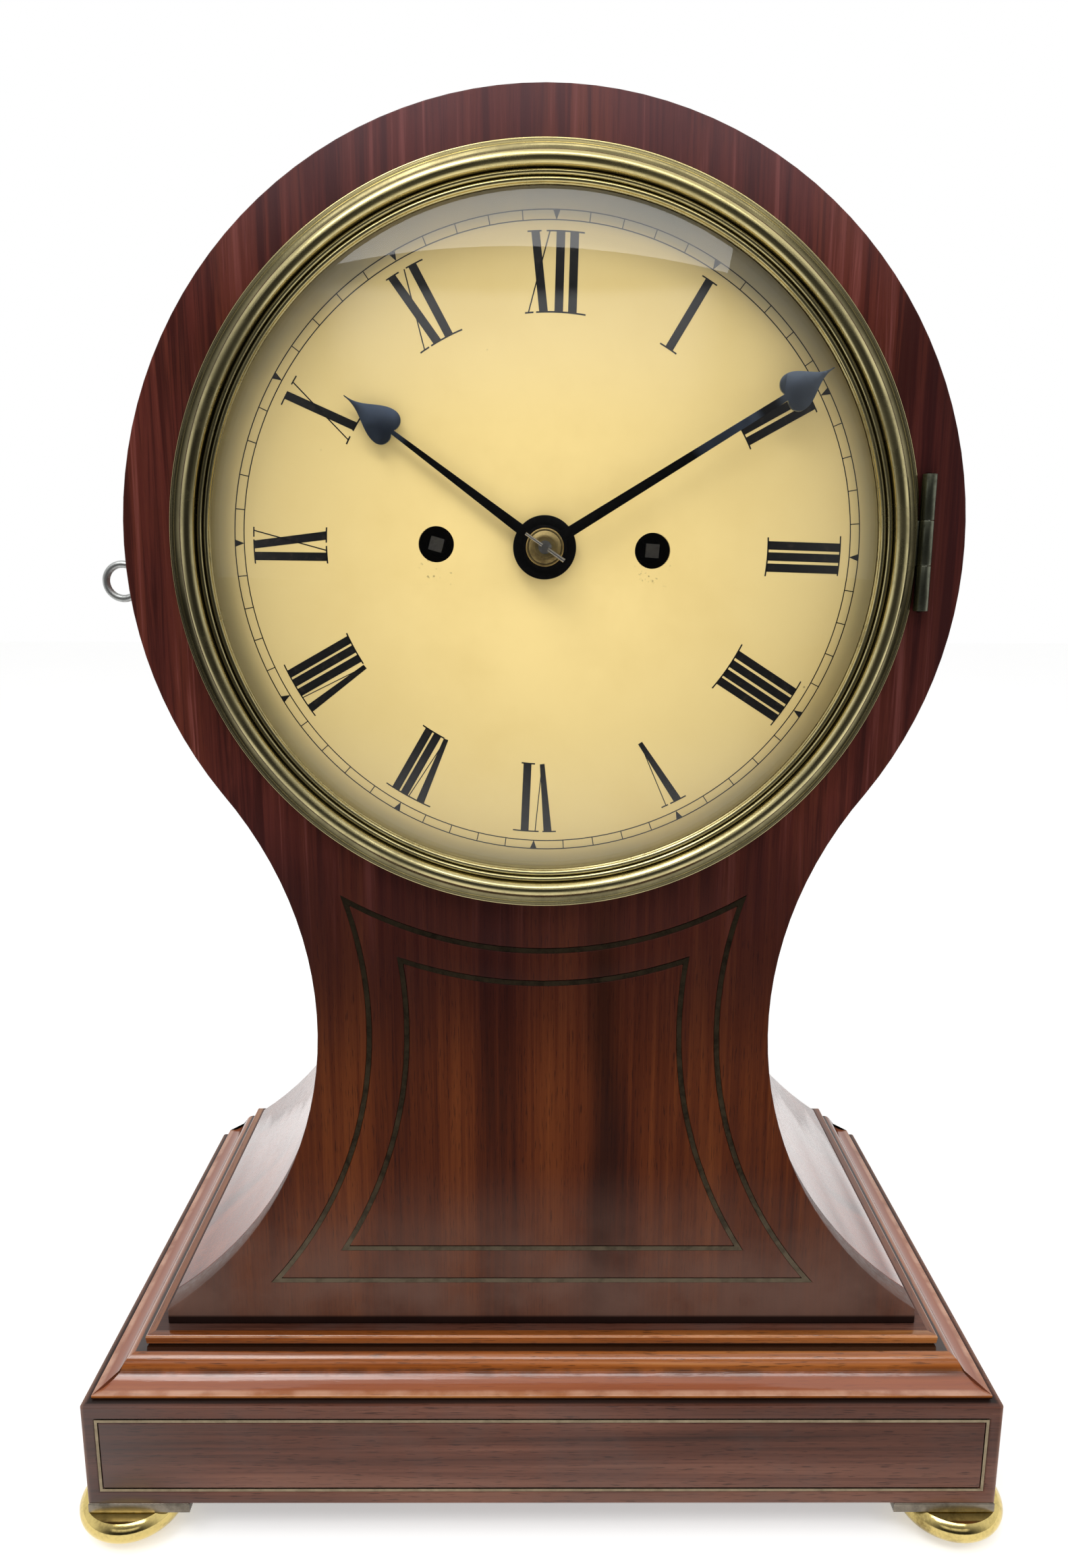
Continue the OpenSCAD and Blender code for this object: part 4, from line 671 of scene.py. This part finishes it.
def dome_glass():
    """Convex glass: two round caps of one sphere's curve, 2 mm apart, joined round the edge."""
    rim, rise, thick, back = 104.5, 15.0, 2.0, FRONT_Y - 3.25
    sphere = (rim * rim + rise * rise) / (2 * rise)
    r = rim * np.sin(np.linspace(0, np.pi / 2, 40))
    cap = back - rise + sphere - np.sqrt(sphere * sphere - r * r)
    section = np.stack([np.concatenate([r, r[::-1]]), np.concatenate([cap, cap[::-1] + thick])], -1)
    points, faces = joined([(turned_to_front(section, 0, DIAL_Z, 192), True, True)])
    made = piece("dome_glass", points, faces, [FINISH["glass"]], "bezel", 40)
    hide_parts("bezel_glass")


def mitred_length(section, name, node):
    """Moulding: a section (set-back, height) carried along the left, front and right of the base, mitred at the
    corners. The three lengths stand a micron apart in height, so that their mitres don't merge."""
    inset, height = section[:, 0], section[:, 1]
    half_w, half_d = BASE_W / 2 - inset, BASE_D / 2 - inset
    back = np.full_like(inset, BASE_D / 2)
    stations = [np.stack([x, y, height], -1) for x, y in (
        (-half_w, back), (-half_w, -half_d), (half_w, -half_d), (half_w, back))]
    step = np.linspace(0, 1, 9)[:, None, None]
    patches, picks = [], []
    for k, side in ((0, 1), (1, 0), (2, 1)):
        run = stations[k][None] * (1 - step) + stations[k + 1][None] * step
        run = run + np.array([0, 0, 1e-3 * (k - 1)])
        ends = [np.stack([end, np.broadcast_to(end.mean(0), end.shape)], 0) for end in (run[0], run[-1])]
        for grid in (run, *ends):
            patches.append((grid, False, True))
            picks.append(np.full((grid.shape[0] - 1) * grid.shape[1], side))
    points, faces = joined(patches)
    made = piece(name, points, faces, [FINISH["mould_front"], FINISH["mould_side"]], "case", 30,
                 np.concatenate(picks))
    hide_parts(node)


def mouldings():
    """Cyma: an upright fillet over a quirk, a hollow by sine and cosine, then a round that ends level. Step above
    it: an upright face over a quirk, with its top edge eased."""
    ledge, fillet, high, core, step_in, step_h, ease = 3.0, 2.0, 9.8, 20.0, 17.2, 3.9, 0.8
    whole = np.array([step_in - 2.3 - ledge, high - fillet])
    hollow = whole * (0.63, 0.42)
    foot = np.array([ledge, BLOCK_TOP + fillet])
    a, b = np.radians(np.linspace(0, 60, 17)), np.radians(np.linspace(20, 90, 25))
    lower = foot + hollow * np.stack([np.sin(a) / np.sin(a[-1]), (1 - np.cos(a)) / (1 - np.cos(a[-1]))], -1)
    upper = foot + hollow + (whole - hollow) * np.stack(
        [1 - np.cos(b) / np.cos(b[0]), (np.sin(b) - np.sin(b[0])) / (1 - np.sin(b[0]))], -1)
    cyma = np.concatenate([
        [[ledge + 0.5, BLOCK_TOP], [ledge + 0.5, BLOCK_TOP + 0.5], [ledge, BLOCK_TOP + 0.6]],
        [[ledge, BLOCK_TOP + fillet - 0.15], [ledge + 0.12, BLOCK_TOP + fillet]], lower[1:], upper[1:],
        [[core, BLOCK_TOP + high], [core, BLOCK_TOP]]])
    mitred_length(cyma, "cyma_lengths", "cyma_moulding")
    low = BLOCK_TOP + high
    step = np.concatenate([
        [[core, low], [step_in + 0.9, low], [step_in + 0.9, low + 0.5], [step_in + 0.25, low + 0.7]],
        arc(step_in + ease, low + step_h - ease, ease, 190, 90, 9), [[core, low + step_h]]])
    mitred_length(step, "step_lengths", "step_moulding")


def feet():
    """Brass feet: a flattened bun, its side an ellipse's arc, under a square plate with eased edges."""
    bun_d, bun_h, bun_in, plate, plate_t, ease = 36.5, 12.5, 11.5, 34.5, 3.7, 0.5
    bulge, middle, half, turns = bun_d * 0.3, bun_h * 0.69, bun_h * 0.515, 96
    a = np.linspace(math.radians(-80), math.asin((bun_h - middle) / half), 33)
    side = np.stack([bun_d / 2 - bulge + bulge * np.cos(a), middle + half * np.sin(a)], -1)
    bun = np.concatenate([[[0, 0], [bun_d * 0.25, 0]], side, [[0, bun_h]]])
    edge = np.concatenate([arc(-ease, ease, ease, 270, 360, 5), arc(-ease, plate_t - ease, ease, 0, 90, 5)])
    half_side = np.concatenate([[0], plate / 2 + edge[:, 0], [0]])
    high = bun_h + np.concatenate([[0], edge[:, 1], [plate_t]])
    turn = np.radians(np.arange(0, 360, 3.0) + 45)
    square = 1 / np.maximum(np.abs(np.cos(turn)), np.abs(np.sin(turn)))
    reach = half_side[None, :] * square[:, None]
    patches, picks = [], []
    for sx in (-1, 1):
        for sy in (-1, 1):
            x, y = sx * BASE_W / 2, sy * BASE_D / 2
            patches.append((turned_upright(bun, x - sx * bun_in, y - sy * bun_in, turns), True, False))
            picks.append(np.zeros(turns * (len(bun) - 1)))
            slab = np.stack([x - sx * plate / 2 + reach * np.cos(turn)[:, None],
                             y - sy * plate / 2 + reach * np.sin(turn)[:, None],
                             np.broadcast_to(high, reach.shape)], -1)
            patches.append((slab, True, False))
            picks.append(np.ones(len(turn) * (len(half_side) - 1)))
    points, faces = joined(patches)
    made = piece("bun_feet", points, faces, [FINISH["foot_brass"], FINISH["plate_brass"]], "case", 30,
                 np.concatenate(picks))
    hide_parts("feet")


def collet():
    """Collet under the pin: a low disc with a rounded rim, a groove and a slightly domed face with a dished middle,
    turned about the hands' arbor."""
    front, bore, rim, ease = -68.1, 1.56, 5.7, 0.35
    a = np.linspace(0, 1, 12)
    face = np.stack([4.85 - 1.75 * a, front - 2.3 - 0.5 * np.sin(a * np.pi / 2)], -1)
    section = np.concatenate([
        [[bore, front], [rim, front]], arc(rim - ease, front - 1.75, ease, 0, -90, 6),
        [[5.05, front - 2.1], [4.95, front - 1.8]], face, [[2.95, front - 2.62], [bore, front - 2.55]]])
    points, faces = joined([(turned_to_front(section, 0, DIAL_Z, 72), True, True)])
    made = piece("collet_disc", points, faces, [FINISH["collet_brass"]], "centre", 32)
    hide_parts("hand_collet")


# Dial print: radius at the foot of the numerals, their height, the middle of the print and its half thickness
FOOT_R, TALL = 68.3, 22.3
PRINT_X, PRINT_Z = 0.9, DIAL_Z + 0.15
PROUD = 0.05

# Strokes of a letter about its middle: start, end and the half width at each
LETTERS = {
    "I": [(0, 0, 0, TALL, 1.27, 1.27)],
    "V": [(-1.9, TALL, 0.9, 0, 1.3, 0.75), (2.2, TALL, 0.9, 0, 0.14, 0.14)],
    "X": [(-1.6, TALL, 1.4, 0, 1.2, 1.27), (2.7, TALL, -3.1, 0, 0.18, 0.18)],
}

# Hours from twelve on: how far each stands round from its true place in degrees, its letters, and the lines at its
# head and foot
HOURS = [
    (1.4, [("X", -4.5), ("I", 1.4), ("I", 5.45)], [(-8.4, -4.3), (-2.8, 8.4)], [(-8.6, -6.1), (-5.3, 9.4)]),
    (1.2, [("I", 0.8)], [(-1.8, 3.4)], [(-2.3, 3.5)]),
    (1.4, [("I", -2.0), ("I", 1.45)], [(-4.2, 3.8)], [(-4.4, 3.9)]),
    (1.8, [("I", -2.8), ("I", 0.55), ("I", 3.95)], [(-6.3, 5.8)], [(-5.2, 6.6)]),
    (2.8, [("I", -4.8), ("I", -1.45), ("I", 1.9), ("I", 5.1)], [(-8.7, 7.9)], [(-8.2, 8.3)]),
    (3.3, [("V", -0.1)], [(-5.0, 0.6), (1.4, 3.7)], []),
    (2.5, [("V", -2.5), ("I", 3.1)], [(-7.1, -2.7), (-1.5, 6.9)], [(0.7, 5.0)]),
    (0.2, [("V", -3.4), ("I", 0.5), ("I", 3.65)], [(-8.9, 7.1)], [(-1.9, 6.1)]),
    (0.5, [("V", -4.85), ("I", -0.8), ("I", 2.55), ("I", 5.75)], [(-9.6, 9.1)], [(-2.9, 7.9)]),
    (0.6, [("I", -3.8), ("X", 1.25)], [(-6.1, 1.2), (2.0, 5.0)], [(-5.8, -0.5), (0.5, 5.1)]),
    (1.4, [("X", -1.4)], [(-6.2, -1.8), (0.5, 3.4)], [(-5.9, -3.3), (-1.5, 2.8)]),
    (1.4, [("X", -1.8), ("I", 3.55)], [(-5.3, -0.9), (1.5, 7.0)], [(-6.4, -3.3), (-2.6, 7.8)]),
]


def dial_strokes():
    """All straight marks of the dial: numerals, minute lines and hour wedges, each with the angle it stands at."""
    outside, wedge_tip, inside = 96.3 - FOOT_R, 93.7 - FOOT_R, 93.6 - FOOT_R
    rows = []
    for hour, (turn, word, heads, ends) in enumerate(HOURS):
        at = hour * 30 + turn
        for kind, place in word:
            rows += [(x0 + place, y0, x1 + place, y1, w0, w1, at) for x0, y0, x1, y1, w0, w1 in LETTERS[kind]]
        rows += [(x0, TALL, x1, TALL, 0.2, 0.2, at) for x0, x1 in heads]
        rows += [(x0, 0, x1, 0, 0.22, 0.22, at) for x0, x1 in ends]
        rows.append((0, outside, 0, wedge_tip, 1.05, 0.06, at))
        last = 30 + HOURS[(hour + 1) % 12][0] - turn
        rows += [(0, outside, 0, inside, 0.14, 0.14, at + last * k / 5) for k in range(1, 5)]
    return np.array(rows, dtype=float)


def dial_print():
    """Dial print, a hair proud of the paint: each stroke runs from its start to its end with its width across; its
    height becomes a radius and its sideways place the sine of an angle, so that bars stay parallel and lines
    across them follow the circle."""
    table = dial_strokes()
    steps = np.linspace(0, 1, 11)
    start, end = table[:, 0:2], table[:, 2:4]
    along = end - start
    across = np.stack([-along[:, 1], along[:, 0]], -1) / np.linalg.norm(along, axis=1)[:, None]
    line = start[:, None] + along[:, None] * steps[None, :, None]
    half = table[:, 4][:, None] * (1 - steps) + table[:, 5][:, None] * steps
    aside = across[:, None] * half[..., None]
    sides = np.stack([line + aside, line - aside], 2)
    spot = np.concatenate([sides, sides[:, :, ::-1]], 2)
    radius = FOOT_R + spot[..., 1]
    angle = np.radians(table[:, 6])[:, None, None] + np.arcsin(spot[..., 0] / radius)
    depth = np.broadcast_to(DIAL_Y + PROUD * np.array([-1, -1, 1, 1]), radius.shape)
    points = np.stack([PRINT_X + radius * np.sin(angle), depth, PRINT_Z + radius * np.cos(angle)], -1)
    count = len(steps) * 4
    caps = [[3, 2, 1, 0], [count - 4, count - 3, count - 2, count - 1]]
    one = np.concatenate([grid_faces(len(steps), 4, False, True), caps])
    faces = (one[None] + (np.arange(len(table)) * count)[:, None, None]).reshape(-1, 4)
    thin, rings = 0.15, []
    for middle in (96.4, 93.6):
        loop = np.array([[middle - thin, DIAL_Y - PROUD], [middle + thin, DIAL_Y - PROUD],
                         [middle + thin, DIAL_Y + PROUD], [middle - thin, DIAL_Y + PROUD]])
        rings.append((turned_to_front(loop, PRINT_X, PRINT_Z, 240), True, True))
    ring_points, ring_faces = joined(rings)
    points = np.concatenate([points.reshape(-1, 3), ring_points])
    faces = np.concatenate([faces, ring_faces + len(table) * count])
    piece("dial_print", points, faces, [FINISH["print"]], "case", 20)


bezel_ring()
dome_glass()
mouldings()
feet()
collet()
dial_print()


# Floor, light and camera, in metres


def floor():
    """Pale floor: a wide square on a grid, a hair below the feet; what the camera, the gloss and the glass see of it
    is lifted to the white of the background, it keeps the shadow, and to the last two it darkens towards the dark
    side of the room."""
    half, count, drop = 4.0, 9, 0.0002
    run = np.linspace(-half, half, count)
    x, y = np.meshgrid(run, run)
    points = np.stack([x, y, np.full_like(x, -drop)], -1).reshape(-1, 3)
    mesh = bpy.data.meshes.new("floor")
    mesh.from_pydata(points.tolist(), [], grid_faces(count, count, False, False).tolist())
    paper = Finish("pale_floor", Roughness=0.9, Specular_IOR_Level=0.1, Emission_Color=WHITE)
    ray = paper.add("ShaderNodeLightPath").outputs
    shine = paper.most(ray["Is Glossy Ray"], ray["Is Transmission Ray"])
    front = paper.times(shine, paper.span(paper.parts()[1], -700, -120, 0.97, 0.0))
    body = paper.mix(paper.noise(3.0), (0.90, 0.90, 0.895, 1), (0.92, 0.92, 0.915, 1))
    paper.colour(paper.mix(front, body, (0.01, 0.01, 0.01, 1)))
    lift = paper.times(paper.most(ray["Is Camera Ray"], shine), paper.maths("SUBTRACT", 1.0, front))
    paper.feed(paper.shader.inputs["Emission Strength"], paper.times(lift, 0.4))
    mesh.materials.append(paper.mat)
    made = bpy.data.objects.new("floor", mesh)
    bpy.context.scene.collection.objects.link(made)


def studio():
    """Room: white to the camera, an even softer level for the light on the object, and to the gloss and the glass
    white above, beside and behind the object, with a darker side in front of it that has a pale band like a row of
    high windows."""
    world = bpy.data.worlds.new("studio")
    world.use_nodes = True
    room = Nodes(world.node_tree)
    ray = room.add("ShaderNodeLightPath").outputs
    way = room.add("ShaderNodeSeparateXYZ")
    room.feed(way.inputs[0], room.add("ShaderNodeTexCoord").outputs["Generated"])
    across, depth, height = way.outputs
    even = 0.62
    around = room.span(depth, -0.95, -0.3, 0.03, 1.0)
    above = room.span(height, 0.60, 0.85)
    sideways = room.maths("ABSOLUTE", room.maths("ADD", across, 0.04))
    windows = room.times(room.band(height, 0.24, 0.50, 0.54, 0.58), room.span(sideways, 0.34, 0.50, 1.0, 0.0))
    side = room.most(around, above, windows)
    shine = room.most(ray["Is Glossy Ray"], ray["Is Transmission Ray"])
    change = room.times(shine, room.maths("SUBTRACT", side, even))
    seen = room.times(ray["Is Camera Ray"], 1.0 - even)
    shade = room.tree.nodes["Background"]
    room.feed(shade.inputs["Strength"], room.maths("ADD", even, room.maths("ADD", seen, change)))
    room.feed(shade.inputs["Color"], WHITE)
    bpy.context.scene.world = world


def put(made, right, up, back, spot):
    """Object into the scene: its matrix has its own three directions and its place as columns."""
    matrix = np.eye(4)
    matrix[:3] = np.stack([right, up, back, spot], -1)
    made.matrix_world = Matrix(matrix.tolist())
    bpy.context.scene.collection.objects.link(made)


# Lamps: place, aim, width, height, watts, and whether the gloss sees the lamp
LAMPS = {
    "window": ((-0.55, -0.8, 1.85), (0, 0, 0.2), 0.7, 0.7, 8, True),
    "front": ((-0.05, -0.97, 1.38), (0, 0, 0.36), 1.4, 0.32, 6, True),
    "fill": ((1.2, -0.7, 0.9), (0, 0, 0.25), 1.0, 1.0, 3, False),
}


def lamp(name, spot, aim, wide, tall, power, shines):
    """Soft oblong lamp that looks from its place to its aim."""
    data = bpy.data.lights.new(name, "AREA")
    data.shape = "RECTANGLE"
    data.size = wide
    data.size_y = tall
    data.energy = power
    made = bpy.data.objects.new(name, data)
    made.visible_glossy = shines
    made.visible_transmission = False
    away = np.array(spot) - np.array(aim)
    back = away / np.linalg.norm(away)
    level = np.cross([0, 0, 1], back)
    right = level / np.linalg.norm(level)
    put(made, right, np.cross(back, right), back, spot)


def camera():
    """Camera at the photograph's place: a little above the middle of the dial, looking 11.6 degrees down. Its
    directions follow from pitch, yaw and roll in radians, its lens from the photograph's height in pixels."""
    pitch, yaw, roll = 0.20259595, 0.00303577, 0.00191763
    spot = np.array([-4.16868727, -410.37245845, 333.22386847]) * MM
    focal, photo_height, sensor = 1639.87886887, 2324, 36
    forward = np.array([math.sin(yaw) * math.cos(pitch), math.cos(yaw) * math.cos(pitch), -math.sin(pitch)])
    right = np.array([math.cos(yaw), -math.sin(yaw), 0.0])
    up = np.cross(right, forward)
    data = bpy.data.cameras.new("camera")
    data.sensor_width = sensor
    data.lens = focal / photo_height * sensor
    data.clip_start = 0.01
    made = bpy.data.objects.new("camera", data)
    put(made, math.cos(roll) * right + math.sin(roll) * up, math.cos(roll) * up - math.sin(roll) * right,
        -forward, spot)
    bpy.context.scene.camera = made


floor()
studio()
for lamp_name, lamp_row in LAMPS.items():
    lamp(lamp_name, *lamp_row)
camera()
bpy.context.scene.view_settings.view_transform = "Standard"
